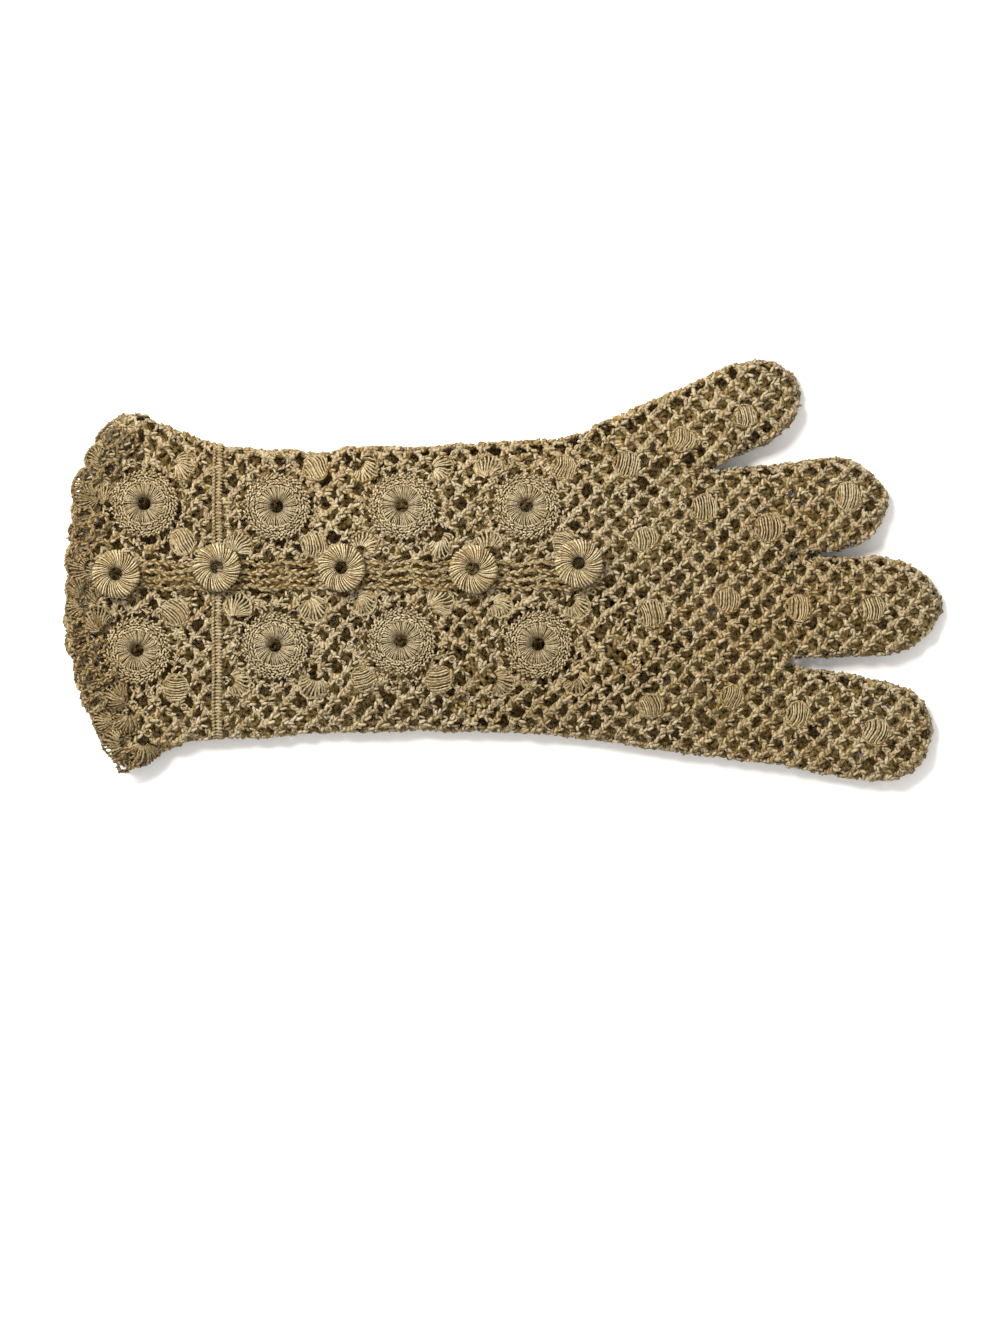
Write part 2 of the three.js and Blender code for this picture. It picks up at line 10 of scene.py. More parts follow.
import bmesh
import bpy
import numpy as np
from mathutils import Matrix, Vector

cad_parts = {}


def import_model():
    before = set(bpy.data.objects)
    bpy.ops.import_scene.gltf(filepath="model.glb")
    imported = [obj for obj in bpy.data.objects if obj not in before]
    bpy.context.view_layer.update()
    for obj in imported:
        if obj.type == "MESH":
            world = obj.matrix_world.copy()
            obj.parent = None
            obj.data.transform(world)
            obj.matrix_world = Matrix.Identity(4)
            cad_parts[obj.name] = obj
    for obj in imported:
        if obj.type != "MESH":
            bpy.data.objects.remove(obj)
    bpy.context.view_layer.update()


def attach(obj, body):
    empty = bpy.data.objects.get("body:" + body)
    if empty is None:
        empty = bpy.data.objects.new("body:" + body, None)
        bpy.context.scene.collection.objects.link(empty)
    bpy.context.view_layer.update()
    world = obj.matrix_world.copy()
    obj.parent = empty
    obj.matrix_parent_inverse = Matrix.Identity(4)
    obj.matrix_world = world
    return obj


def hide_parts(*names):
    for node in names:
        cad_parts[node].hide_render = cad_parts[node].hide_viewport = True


Array = np.ndarray
Random = np.random.Generator
Rule = Callable[[Array], Array]

log = logging.getLogger("glove")

MILLIMETRE = 0.001
TURN = 2 * math.pi
TINY = 1e-9
FLAT_SLOPE = 1e-6
# Tone that paints the padding cores dark: painted shade seen in the gaps between their stitches.
PAINTED_CORE_SHADE = -0.9


class Layer(Enum):
    """Which face of the flattened glove a net lies on."""

    BACK = 1
    PALM = -1


class Finger(Enum):
    """The four fingers, by the names of their CAD nodes."""

    LITTLE = "little_finger"
    RING = "ring_finger"
    MIDDLE = "middle_finger"
    INDEX = "index_finger"


@dataclass(frozen=True)
class Station:
    """One section of the hand and cuff.

    Args:
        along: share of the glove's length.
        high: upper edge as a share of the palm's width.
        low: lower edge as a share of the palm's width.
        rise: from the wrist's height (0) to the crown's (1).
    """

    along: float
    high: float
    low: float
    rise: float


@dataclass(frozen=True)
class Taper:
    """How wide and tall a finger still is at a share of its length."""

    along: float
    half: float
    tall: float


@dataclass(frozen=True)
class Place:
    """A spot on the back, in shares of the glove's length and palm width."""

    along: float
    across: float


@dataclass(frozen=True)
class FingerPlan:
    """A finger from inside the hand to its tip, in shares of the glove's length and palm width."""

    finger: Finger
    start: Place
    tip: Place
    root: float
    width: float
    narrowing: tuple[Taper, ...]


SLEEVE = (
    Station(-0.02, 0.53, -0.65, 0),
    Station(0.085, 0.53, -0.65, 0),
    Station(0.11, 0.496, -0.6, 0),
    Station(0.145, 0.455, -0.565, 0),
    Station(0.177, 0.42, -0.55, 0),
    Station(0.225, 0.41, -0.552, 0.06),
    Station(0.292, 0.397, -0.535, 0.4),
    Station(0.34, 0.418, -0.534, 0.75),
    Station(0.4, 0.416, -0.529, 1),
    Station(0.52, 0.436, -0.533, 1),
    Station(0.6, 0.46, -0.555, 0.95),
    Station(0.67, 0.425, -0.59, 0.75),
    Station(0.745, 0.333, -0.62, 0.25),
    Station(0.827, 0.36, -0.65, -0.2),
)
MOUTH = SLEEVE[1]

BLUNT = (
    Taper(0, 1, 1),
    Taper(0.8, 0.99, 1),
    Taper(0.9, 0.87, 0.95),
    Taper(0.96, 0.64, 0.85),
    Taper(1, 0.24, 0.6),
)
POINTED = (
    Taper(0, 1, 1),
    Taper(0.77, 1, 1),
    Taper(0.87, 0.86, 0.95),
    Taper(0.95, 0.52, 0.8),
    Taper(1, 0.14, 0.5),
)

FINGERS = (
    FingerPlan(Finger.LITTLE, Place(0.548, 0.254), Place(0.834, 0.629), 0.63, 0.29, BLUNT),
    FingerPlan(Finger.RING, Place(0.7, 0.168), Place(0.937, 0.244), 0.575, 0.314, POINTED),
    FingerPlan(Finger.MIDDLE, Place(0.7, -0.129), Place(1, -0.107), 0.445, 0.334, POINTED),
    FingerPlan(Finger.INDEX, Place(0.7, -0.418), Place(0.986, -0.558), 0.482, 0.34, BLUNT),
)

ROSETTES = (
    Place(0.094, 0.224),
    Place(0.244, 0.214),
    Place(0.386, 0.214),
    Place(0.526, 0.214),
    Place(0.086, -0.262),
    Place(0.242, -0.246),
    Place(0.385, -0.232),
    Place(0.539, -0.242),
)

BUTTONS = (
    Place(0.063, -0.01),
    Place(0.177, 0.012),
    Place(0.321, 0.009),
    Place(0.466, 0.004),
    Place(0.584, 0.023),
)


def table(rows: Sequence[Any], key: str, along: Array) -> Array:
    """One column of a table of rows that rise in their along field, blended at shares of the way."""
    return np.interp(along, [row.along for row in rows], [getattr(row, key) for row in rows])


def show(item: bpy.types.Object) -> None:
    """Adds an object to the scene."""
    bpy.context.scene.collection.objects.link(item)


def headings(angle: Array) -> Array:
    """Directions in plan at angles in radians."""
    return np.column_stack([np.cos(angle), np.sin(angle)])


def zero_at(points: Array) -> Array:
    """Zero at each point."""
    return np.zeros(len(points))


def inset_in(outline: Array, points: Array) -> Array:
    """How far points lie inside a closed outline.

    Args:
        outline: corners in order, one row each.
        points: points in plan, one row each.

    Returns:
        The distance to the outline, negative outside it.
    """
    end = np.roll(outline, -1, axis=0)
    edge = end - outline
    offset = points[:, None, :] - outline[None]
    share = np.clip((offset * edge).sum(-1) / np.maximum((edge**2).sum(-1), TINY), 0, 1)
    distance = np.linalg.norm(offset - share[..., None] * edge, axis=-1).min(1)
    level = points[:, None, 1]
    crosses = (outline[None, :, 1] > level) != (end[None, :, 1] > level)
    rise = np.where(np.abs(edge[:, 1]) < TINY, TINY, edge[:, 1])
    crossing = outline[:, 0] + (level - outline[None, :, 1]) / rise * edge[:, 0]
    inside = (crosses & (points[:, None, 0] < crossing)).sum(1) % 2 == 1
    return np.where(inside, distance, -distance)


def arc_points(start: Array, end: Array, bow: Array, count: int) -> Array:
    """Points from one place to another on a shallow arc, whose middle is moved aside by the bow."""
    share = np.linspace(0, 1, count)[:, None]
    return start + (end - start) * share + bow * (4 * share * (1 - share))


def even_points(line: Array, pitch: float) -> Array:
    """Points at an even pitch along a line.

    Args:
        line: points in order.
        pitch: the distance wanted.

    Returns:
        The even points.
    """
    steps = np.linalg.norm(np.diff(line, axis=0), axis=1)
    length = np.concatenate([[0], np.cumsum(steps)])
    wanted = np.linspace(0, length[-1], max(int(length[-1] / pitch), 2))
    return np.column_stack([np.interp(wanted, length, line[:, k]) for k in range(line.shape[1])])


def runs_of(mask: Array) -> list[Array]:
    """The runs of neighbouring places where a mask is true.

    Args:
        mask: true or false for each place.

    Returns:
        The indices of each run.
    """
    places = np.flatnonzero(mask)
    if len(places) == 0:
        return []
    return np.split(places, np.flatnonzero(np.diff(places) > 1) + 1)


@dataclass
class GlovePlan:
    """The glove's sizes in millimetres and the surfaces that its net lies on."""

    length: float = 202
    palm_width: float = 69
    wall: float = 1.3
    gap: float = 0.3
    finger_height: float = 7.4
    wrist_height: float = 9
    crown_height: float = 14.8
    thumb_height: float = 6.9
    thumb_length: float = 50
    thumb_width: float = 23
    thumb_turn: float = 12
    thumb_root: Place = Place(0.43, -0.33)
    mouth_middle: float = -0.06
    mouth_bow: float = 13
    mouth_power: float = 2.4
    edging_width: float = 7
    wrist_along: float = 0.177
    cord_width: float = 2.4
    crown_power: float = 3
    gap_depth: float = 0.1
    gap_span: float = 2.0
    tip_start: float = 0.6
    tip_reach: float = 0.6
    thumb_ease: float = 1.2
    shift: tuple[float, float] = (-0.141, -0.367)
    outlines: list[Array] = field(default_factory=list)

    def __post_init__(self) -> None:
        """Works out the outlines of hand, fingers and thumb in plan."""
        high = [[self.x(row.along), self.y(row.high)] for row in SLEEVE]
        low = [[self.x(row.along), self.y(row.low)] for row in SLEEVE]
        self.outlines = [np.array(high + low[::-1])]
        self.outlines += [self.tube_outline(*self.finger_axis(plan), plan.narrowing) for plan in FINGERS]
        self.thumb_outline = self.tube_outline(*self.thumb_axis(), BLUNT)

    def x(self, along: Any) -> Any:
        """The X of a share of the glove's length."""
        return (along - 0.5) * self.length + self.shift[0]

    def y(self, across: Any) -> Any:
        """The Y of a share of the palm's width."""
        return across * self.palm_width + self.shift[1]

    def spot(self, place: Place) -> Array:
        """A place in plan."""
        return np.array([self.x(place.along), self.y(place.across)])

    def finger_axis(self, plan: FingerPlan) -> tuple[Array, Array, float]:
        """Start, tip and width of a finger."""
        return self.spot(plan.start), self.spot(plan.tip), plan.width * self.palm_width

    def beside(self, plan: FingerPlan, points: Array) -> tuple[Array, Array, float]:
        """Where points lie along and beside a finger.

        Args:
            plan: the finger.
            points: points in plan.

        Returns:
            Shares of the way to its tip, distances from its axis, and its full width.
        """
        start, tip, width = self.finger_axis(plan)
        axis = tip - start
        along = (points - start) @ axis / (axis @ axis)
        side = (points - start) @ np.array([-axis[1], axis[0]]) / np.linalg.norm(axis)
        return along, np.abs(side), width

    def thumb_axis(self) -> tuple[Array, Array, float]:
        """The folded thumb's axis.

        Returns:
            Its start, its tip and its full width.
        """
        start = self.spot(self.thumb_root)
        turn = math.radians(self.thumb_turn)
        return start, start + self.thumb_length * np.array([math.cos(turn), math.sin(turn)]), self.thumb_width

    def tube_outline(self, start: Array, tip: Array, width: float, narrowing: Sequence[Taper]) -> Array:
        """The outline of a finger in plan.

        Args:
            start: where it starts.
            tip: where it ends.
            width: its full width.
            narrowing: how it tapers.

        Returns:
            The corners of the outline in order.
        """
        shares = np.concatenate([[0], np.linspace(0.5, 1, 21)])
        half = table(narrowing, "half", shares) * width / 2
        axis = tip - start
        across = np.array([-axis[1], axis[0]]) / np.linalg.norm(axis)
        middle = start + shares[:, None] * axis
        left = middle + half[:, None] * across
        right = middle - half[:, None] * across
        return np.concatenate([left, right[::-1]])

    def inset(self, points: Array) -> Array:
        """How far points lie inside the whole glove's outline in plan."""
        return np.max([inset_in(outline, points) for outline in self.outlines], axis=0)

    def between_fingers(self, points: Array) -> Array:
        """True in the gaps between the fingers, where no strand may cross."""
        insets = np.sort([inset_in(outline, points) for outline in self.outlines], axis=0)
        return (insets[-1] < -self.gap_depth) & (insets[-1] - insets[-2] < self.gap_span)

    def seam_x(self, y: Array) -> Array:
        """The X of the seam between the cuff and its edging.

        Args:
            y: places along the seam.

        Returns:
            The X at each place.
        """
        middle = self.y(self.mouth_middle)
        half = (MOUTH.high - MOUTH.low) * self.palm_width / 2
        share = np.minimum(np.abs(y - middle) / half, 1)
        return self.x(0) + self.mouth_bow * share**self.mouth_power + self.edging_width

    def crown(self, points: Array) -> Array:
        """How far the back stands above the height of its sides.

        Args:
            points: points in plan.

        Returns:
            The rise at each point.
        """
        along = (points[:, 0] - self.shift[0]) / self.length + 0.5
        high = self.y(table(SLEEVE, "high", along))
        low = self.y(table(SLEEVE, "low", along))
        flat = (high - low - self.finger_height) / 2
        share = np.clip(np.abs(points[:, 1] - (high + low) / 2) / flat, 0, 1)
        top = self.wrist_height + (self.crown_height - self.wrist_height) * table(SLEEVE, "rise", along)
        rise = (top - self.finger_height) * (1 - share**self.crown_power)
        return np.where(along < SLEEVE[-1].along, rise, 0)

    def tallness(self, points: Array) -> Array:
        """How tall the glove still is towards the fingertips.

        Args:
            points: points in plan.

        Returns:
            The share of the height that each point keeps.
        """
        share = np.ones(len(points))
        for plan in FINGERS:
            along, side, width = self.beside(plan, points)
            near = (along > self.tip_start) & (side < width * self.tip_reach)
            share = np.where(near, table(plan.narrowing, "tall", along), share)
        return share

    def thumb_cover(self, points: Array) -> Array:
        """How far the palm is lifted over the folded thumb.

        Args:
            points: points in plan.

        Returns:
            The lift at each point.
        """
        inset = inset_in(self.thumb_outline, points)
        share = np.clip((inset + self.thumb_ease) / (2 * self.thumb_ease), 0, 1)
        return (self.thumb_height + self.gap) * share * share * (3 - 2 * share)


@dataclass
class NetSurface:
    """The middle of the net's wall over a flat outline, rolled down round its sides.

    Args:
        inset: how far points lie inside the outline.
        side: half the height of the sides.
        wall: thickness of the wall.
        crown: how far the back stands above its sides.
        floor: how far the palm is lifted.
        tallness: the share of its height that a point keeps.
        slope_step: how far apart the slope inwards is measured.
        normal_step: how far apart the outward direction is measured.
        overhang: how far, in radians, the net may run on past its outermost line.
    """

    inset: Rule
    side: float
    wall: float
    crown: Rule
    floor: Rule
    tallness: Rule
    slope_step: float = 0.2
    normal_step: float = 0.3
    overhang: float = 0.2

    @property
    def bend(self) -> float:
        """The radius of the side at the middle of the wall."""
        return self.side - self.wall / 2

    def arc(self, points: Array) -> Array:
        """How far along the rolled surface points lie from its outermost line."""
        return self.inset(points) - self.side + self.bend * math.pi / 2

    def gradient(self, points: Array) -> Array:
        """The directions inwards.

        Args:
            points: points in plan.

        Returns:
            Unit vectors in plan, one row each.
        """
        steps = self.slope_step * np.eye(2)
        slope = np.stack([self.inset(points + step) - self.inset(points - step) for step in steps], axis=1)
        return slope / np.maximum(np.linalg.norm(slope, axis=1, keepdims=True), FLAT_SLOPE)

    def lay(self, points: Array, layer: Layer, lift: Any = 0.0) -> Array:
        """Lays points of a flat pattern on the rolled surface.

        Args:
            points: points of the pattern, in plan.
            layer: back or palm.
            lift: how far outwards from the middle of the wall.

        Returns:
            The points in space.
        """
        arc = self.arc(points)
        angle = np.clip(arc / self.bend, -self.overhang, math.pi / 2)
        inward = self.gradient(points)
        target = self.side - self.bend * np.cos(angle)
        slide = np.where(arc < self.bend * math.pi / 2, target - self.inset(points), 0)
        out = np.broadcast_to(lift, arc.shape)
        plan = points + inward * (slide - out * np.cos(angle))[:, None]
        rise = (self.bend + out) * np.sin(angle)
        if layer is Layer.BACK:
            z = (self.side + rise) * self.tallness(points) + self.crown(plan) * np.sin(angle)
        else:
            z = (self.side - rise) * self.tallness(points) + self.floor(plan)
        return np.column_stack([plan, z])

    def normals(self, flat: Array, layer: Layer) -> Array:
        """The outward directions of the surface.

        Args:
            flat: points in plan.
            layer: back or palm.

        Returns:
            Unit vectors, one row each.
        """
        step = self.normal_step
        east = self.lay(flat + [step, 0], layer) - self.lay(flat - [step, 0], layer)
        north = self.lay(flat + [0, step], layer) - self.lay(flat - [0, step], layer)
        normal = np.cross(east, north) * layer.value
        return normal / np.maximum(np.linalg.norm(normal, axis=1, keepdims=True), TINY)


class Signal:
    """An output socket that can be used in plain arithmetic. Each operation adds its Math node."""

    def __init__(self, graph: "Graph", socket: bpy.types.NodeSocket) -> None:
        """Wraps a socket of a graph."""
        self.graph = graph
        self.socket = socket

    def __add__(self, other: Any) -> "Signal":
        """Sum."""
        return self.graph.math("ADD", self, other)

    __radd__ = __add__

    def __sub__(self, other: Any) -> "Signal":
        """Difference."""
        return self.graph.math("SUBTRACT", self, other)

    def __rsub__(self, other: Any) -> "Signal":
        """Difference from a number."""
        return self.graph.math("SUBTRACT", other, self)

    def __mul__(self, other: Any) -> "Signal":
        """Product."""
        return self.graph.math("MULTIPLY", self, other)

    __rmul__ = __mul__

    def __truediv__(self, other: Any) -> "Signal":
        """Quotient."""
        return self.graph.math("DIVIDE", self, other)

    def __rtruediv__(self, other: Any) -> "Signal":
        """Quotient of a number."""
        return self.graph.math("DIVIDE", other, self)

    def sine(self) -> "Signal":
        """Sine."""
        return self.graph.math("SINE", self)

    def cosine(self) -> "Signal":
        """Cosine."""
        return self.graph.math("COSINE", self)

    def limited(self) -> "Signal":
        """The value kept between 0 and 1."""
        return self.graph.add("ShaderNodeClamp", {}, {"Value": self})


class Graph:
    """Builds a tree of shader or geometry nodes."""

    def __init__(self, tree: bpy.types.NodeTree) -> None:
        """Starts on a tree."""
        self.tree = tree

    def math(self, operation: str, *values: Any) -> Signal:
        """The result of a Math node on values or signals."""
        return self.add("ShaderNodeMath", {"operation": operation}, dict(enumerate(values)))

    def add(self, kind: str, settings: dict[str, Any], values: dict[Any, Any], output: Any = 0) -> Signal:
        """Adds a node.

        Args:
            kind: the node's type.
            settings: its properties, set before its sockets.
            values: numbers or signals for its sockets, by identifier, name or place.
            output: the output that is wanted, by name or place.

        Returns:
            The wanted output as a signal.
        """
        node = self.tree.nodes.new(kind)
        for key, value in settings.items():
            setattr(node, key, value)
        for key, value in values.items():
            self._feed(self._input(node, key), value)
        return Signal(self, node.outputs[output])

    def _input(self, node: bpy.types.Node, key: Any) -> bpy.types.NodeSocket:
        """An input socket of a node.

        Args:
            node: the node.
            key: the socket's identifier, name or place.

        Returns:
            The socket.
        """
        if isinstance(key, int):
            return node.inputs[key]
        for socket in node.inputs:
            if socket.identifier == key:
                return socket
        return node.inputs[key]

    def _feed(self, socket: bpy.types.NodeSocket, value: Any) -> None:
        """Links a signal to a socket, or sets its value.

        Args:
            socket: the socket.
            value: a number, a signal or a list of signals.
        """
        if isinstance(value, (list, tuple)) and value and isinstance(value[0], Signal):
            for signal in value:
                self.tree.links.new(signal.socket, socket)
        elif isinstance(value, Signal):
            self.tree.links.new(value.socket, socket)
        else:
            socket.default_value = value


class Draw(Enum):
    """What a random number in the thread tree is drawn for."""

    TWIST = 1
    THREAD_TONE = 2
    COVER_TONE = 3
    LEAN = 4
    RISE = 5
    THICKNESS = 6
    LENGTH = 7
    STITCH_TONE = 8


class ThreadTree(Graph):
    """The geometry nodes that work centre lines into thread and set stitches on loose points.

    Every edge of the mesh is a centre line, whose points hold its radius. A line whose points also
    hold an outward direction is covered with two rows of small slanted stitches, as in crochet. Every
    loose point with a size gets one stitch, which lies along its axis and faces its up direction.
    """

    SIZES = (
        ("Ring Spacing", 0.0004),
        ("Lay Length", 0.0022),
        ("Ply Depth", 0.4),
        ("Wander", 0.0003),
        ("Wander Scale", 260.0),
        ("Stitch Pitch", 0.0009),
        ("Stitch Lean", 0.5),
    )
    THREAD_SIDES = 6
    CAPSULE_RINGS = 3
    # How much painted shade darkens thread that stitches cover.
    COVERED_PAINTED_SHADE = 0.7

    def __init__(self) -> None:
        """Builds the tree."""
        super().__init__(bpy.data.node_groups.new("worked_thread", "GeometryNodeTree"))
        sockets = self.tree.interface
        sockets.new_socket("Geometry", in_out="INPUT", socket_type="NodeSocketGeometry")
        self.identifiers: dict[str, str] = {}
        for name, value in self.SIZES:
            socket = sockets.new_socket(name, in_out="INPUT", socket_type="NodeSocketFloat")
            socket.default_value = value
            self.identifiers[name] = socket.identifier
        for name, kind in (("Seed", "NodeSocketInt"), ("Finish", "NodeSocketMaterial")):
            self.identifiers[name] = sockets.new_socket(name, in_out="INPUT", socket_type=kind).identifier
        sockets.new_socket("Geometry", in_out="OUTPUT", socket_type="NodeSocketGeometry")
        self.given = self.tree.nodes.new("NodeGroupInput")
        parts = [self._threads(), self._covering(), self._stitches()]
        made = self.add("GeometryNodeJoinGeometry", {}, {"Geometry": parts})
        made = self.add("GeometryNodeRealizeInstances", {}, {"Geometry": made})
        made = self.add("GeometryNodeSetShadeSmooth", {}, {"Geometry": made})
        made = self.add("GeometryNodeSetMaterial", {}, {"Geometry": made, "Material": self._given("Finish")})
        output = self.tree.nodes.new("NodeGroupOutput")
        self.tree.links.new(made.socket, output.inputs[0])

    def _given(self, name: str) -> Signal:
        """An input of the tree."""
        return Signal(self, self.given.outputs[name])

    def _attribute(self, name: str, kind: str) -> Signal:
        """A named attribute of the geometry."""
        return self.add("GeometryNodeInputNamedAttribute", {"data_type": kind}, {"Name": name})

    def _store(self, shape: Signal, name: str, kind: str, value: Signal, domain: str = "POINT") -> Signal:
        """The geometry with a named attribute stored on it."""
        values = {"Geometry": shape, "Name": name, "Value": value}
        return self.add("GeometryNodeStoreNamedAttribute", {"data_type": kind, "domain": domain}, values)

    def _random(self, index: Signal, draw: Draw) -> Signal:
        """A random number from 0 to 1 for each index, from the tree's seed."""
        values = {"ID": index, "Seed": self._given("Seed") + draw.value}
        return self.add("FunctionNodeRandomValue", {"data_type": "FLOAT"}, values, output=1)

    def _vector(self, operation: str, first: Any, second: Any) -> Signal:
        """The result of a Vector Math node on two vectors."""
        return self.add("ShaderNodeVectorMath", {"operation": operation}, {0: first, 1: second})

    def _scaled(self, vector: Any, factor: Any) -> Signal:
        """A vector times a number."""
        return self.add("ShaderNodeVectorMath", {"operation": "SCALE"}, {0: vector, "Scale": factor})

    def _covered(self) -> Signal:
        """The choice of lines that get covered.

        Returns:
            1 where a line has an outward direction, else 0.
        """
        up = self._attribute("thread_up", "FLOAT_VECTOR")
        length = self.add("ShaderNodeVectorMath", {"operation": "LENGTH"}, {0: up}, output="Value")
        return self.math("GREATER_THAN", length, 0.5)

    def _lines(self, spacing: str) -> Signal:
        """The centre lines as curves of even points, which wander a little and stay above the floor.

        Args:
            spacing: the input that gives the distance between points.

        Returns:
            The curves.
        """
        lines = self.add("GeometryNodeMeshToCurve", {}, {"Mesh": self._given("Geometry")})
        values = {"Curve": lines, "Length": self._given(spacing)}
        lines = self.add("GeometryNodeResampleCurve", {"mode": "LENGTH"}, values)
        place = self.add("GeometryNodeInputPosition", {}, {})
        noise_values = {"Vector": place, "Scale": self._given("Wander Scale"), "Detail": 1.0}
        noise = self.add("ShaderNodeTexNoise", {"noise_dimensions": "3D"}, noise_values, output="Color")
        centred = self._vector("SUBTRACT", noise, (0.5, 0.5, 0.5))
        offset = self._scaled(centred, self._given("Wander") * 4.0)
        lines = self.add("GeometryNodeSetPosition", {}, {"Geometry": lines, "Offset": offset})
        return self._above_floor(lines, self._attribute("thread_radius", "FLOAT"))

    def _threads(self) -> Signal:
        """Two-ply thread along every edge, darkened with painted shade where stitches will cover it.

        Returns:
            The thread.
        """
        lines = self._lines("Ring Spacing")
        number = self.add("GeometryNodeCurveOfPoint", {}, {}, output="Curve Index")
        length = self.add("GeometryNodeSplineParameter", {}, {}, output="Length")
        tilt = length / self._given("Lay Length") * TURN + self._random(number, Draw.TWIST) * TURN
        lines = self.add("GeometryNodeSetCurveTilt", {}, {"Curve": lines, "Tilt": tilt})
        lines = self._store(lines, "thread_length", "FLOAT", length * 1000.0)
        # Random tone per strand, minus painted shade on thread that stitches cover.
        tone = self._random(number, Draw.THREAD_TONE) - self._covered() * self.COVERED_PAINTED_SHADE
        lines = self._store(lines, "thread_tone", "FLOAT", tone)
        return self.add(
            "GeometryNodeCurveToMesh",
            {},
            {
                "Curve": lines,
                "Profile Curve": self._profile(),
                "Scale": self._attribute("thread_radius", "FLOAT"),
                "Fill Caps": True,
            },
        )

    def _covering(self) -> Signal:
        """Two rows of slanted stitches along every covered line.

        Returns:
            The stitches as instances.
        """
        lines = self._lines("Stitch Pitch")
        evaluated = {"mode": "EVALUATED"}
        points = self.add("GeometryNodeCurveToPoints", evaluated, {"Curve": lines}, output="Points")
        tangent = Signal(self, points.socket.node.outputs["Tangent"])
        up = self._attribute("thread_up", "FLOAT_VECTOR")
        radius = self._attribute("thread_radius", "FLOAT")
        number = self.add("GeometryNodeInputIndex", {}, {})
        side = self.math("MODULO", number, 2.0) * 2.0 - 1.0
        across = self._vector("CROSS_PRODUCT", up, tangent)
        lean = side * self._given("Stitch Lean") * (self._random(number, Draw.LEAN) + 0.5)
        axis = self._vector("ADD", tangent, self._scaled(across, lean))
        aside = self._scaled(across, side * radius * 0.5)
        outward = self._scaled(up, radius * (self._random(number, Draw.RISE) * 0.35 + 0.4))
        offset = self._vector("ADD", aside, outward)
        points = self.add("GeometryNodeSetPosition", {}, {"Geometry": points, "Offset": offset})
        thick = radius * (self._random(number, Draw.THICKNESS) * 0.16 + 0.4)
        long = radius * (self._random(number, Draw.LENGTH) * 0.4 + 1.05)
        size = self.add("ShaderNodeCombineXYZ", {}, {"X": thick, "Y": thick, "Z": long})
        points = self._above_floor(points, radius * 0.85)
        return self._capsules(points, self._covered(), axis, up, size, Draw.COVER_TONE)

    def _stitches(self) -> Signal:
        """A stitch on every loose point that has a size.

        Returns:
            The stitches as instances.
        """
        size = self._attribute("stitch_size", "FLOAT_VECTOR")
        height = self.add("ShaderNodeSeparateXYZ", {}, {0: size})
        chosen = self.math("GREATER_THAN", height, 0.0)
        axis = self._attribute("stitch_axis", "FLOAT_VECTOR")
        up = self._attribute("stitch_up", "FLOAT_VECTOR")
        length = self.add("ShaderNodeSeparateXYZ", {}, {0: size}, output="Z")
        points = self._above_floor(self._given("Geometry"), length * 0.7)
        return self._capsules(points, chosen, axis, up, size, Draw.STITCH_TONE)

    def _capsules(
        self, points: Signal, chosen: Signal, axis: Signal, up: Signal, size: Signal, draw: Draw
    ) -> Signal:
        """Small capsules on points.

        Args:
            points: where they lie.
            chosen: which points get one.
            axis: their long directions.
            up: the directions that they face.
            size: half height, half width and half length.
            draw: what their tones are drawn for.

        Returns:
            The capsules as instances.
        """
        lying = self.add("FunctionNodeAlignRotationToVector", {"axis": "Z"}, {"Vector": axis})
        facing_values = {"Rotation": lying, "Vector": up}
        turned = {"axis": "X", "pivot_axis": "Z"}
        facing = self.add("FunctionNodeAlignRotationToVector", turned, facing_values)
        form = {"Segments": self.THREAD_SIDES, "Rings": self.CAPSULE_RINGS, "Radius": 1.0}
        capsule = self.add("GeometryNodeMeshUVSphere", {}, form)
        values = {"Points": points, "Selection": chosen, "Instance": capsule}
        values |= {"Rotation": facing, "Scale": size}
        made = self.add("GeometryNodeInstanceOnPoints", {}, values)
        number = self.add("GeometryNodeInputIndex", {}, {})
        return self._store(made, "thread_tone", "FLOAT", self._random(number, draw), "INSTANCE")

    def _above_floor(self, shape: Signal, room: Signal) -> Signal:
        """Raises a shape that comes too near the floor.

        Args:
            shape: what is raised.
            room: the least height of each point.

        Returns:
            The shape above the floor.
        """
        place = self.add("GeometryNodeInputPosition", {}, {})
        height = self.add("ShaderNodeSeparateXYZ", {}, {0: place}, output="Z")
        lift = self.math("MAXIMUM", room - height, 0.0)
        offset = self.add("ShaderNodeCombineXYZ", {}, {"Z": lift})
        return self.add("GeometryNodeSetPosition", {}, {"Geometry": shape, "Offset": offset})

    def _profile(self) -> Signal:
        """The section of two-ply thread.

        Returns:
            A flattened ring, which also stores its direction for the finish.
        """
        form = {"Resolution": self.THREAD_SIDES, "Radius": 1.0}
        ring = self.add("GeometryNodeCurvePrimitiveCircle", {"mode": "RADIUS"}, form)
        place = self.add("GeometryNodeInputPosition", {}, {})
        ring = self._store(ring, "thread_side", "FLOAT_VECTOR", place)
        share = 1 - self._given("Ply Depth")
        squeeze = self.add("ShaderNodeCombineXYZ", {}, {"X": 1.0, "Y": share, "Z": 1.0})
        values = {"Geometry": ring, "Position": self._vector("MULTIPLY", place, squeeze)}
        return self.add("GeometryNodeSetPosition", {}, values)


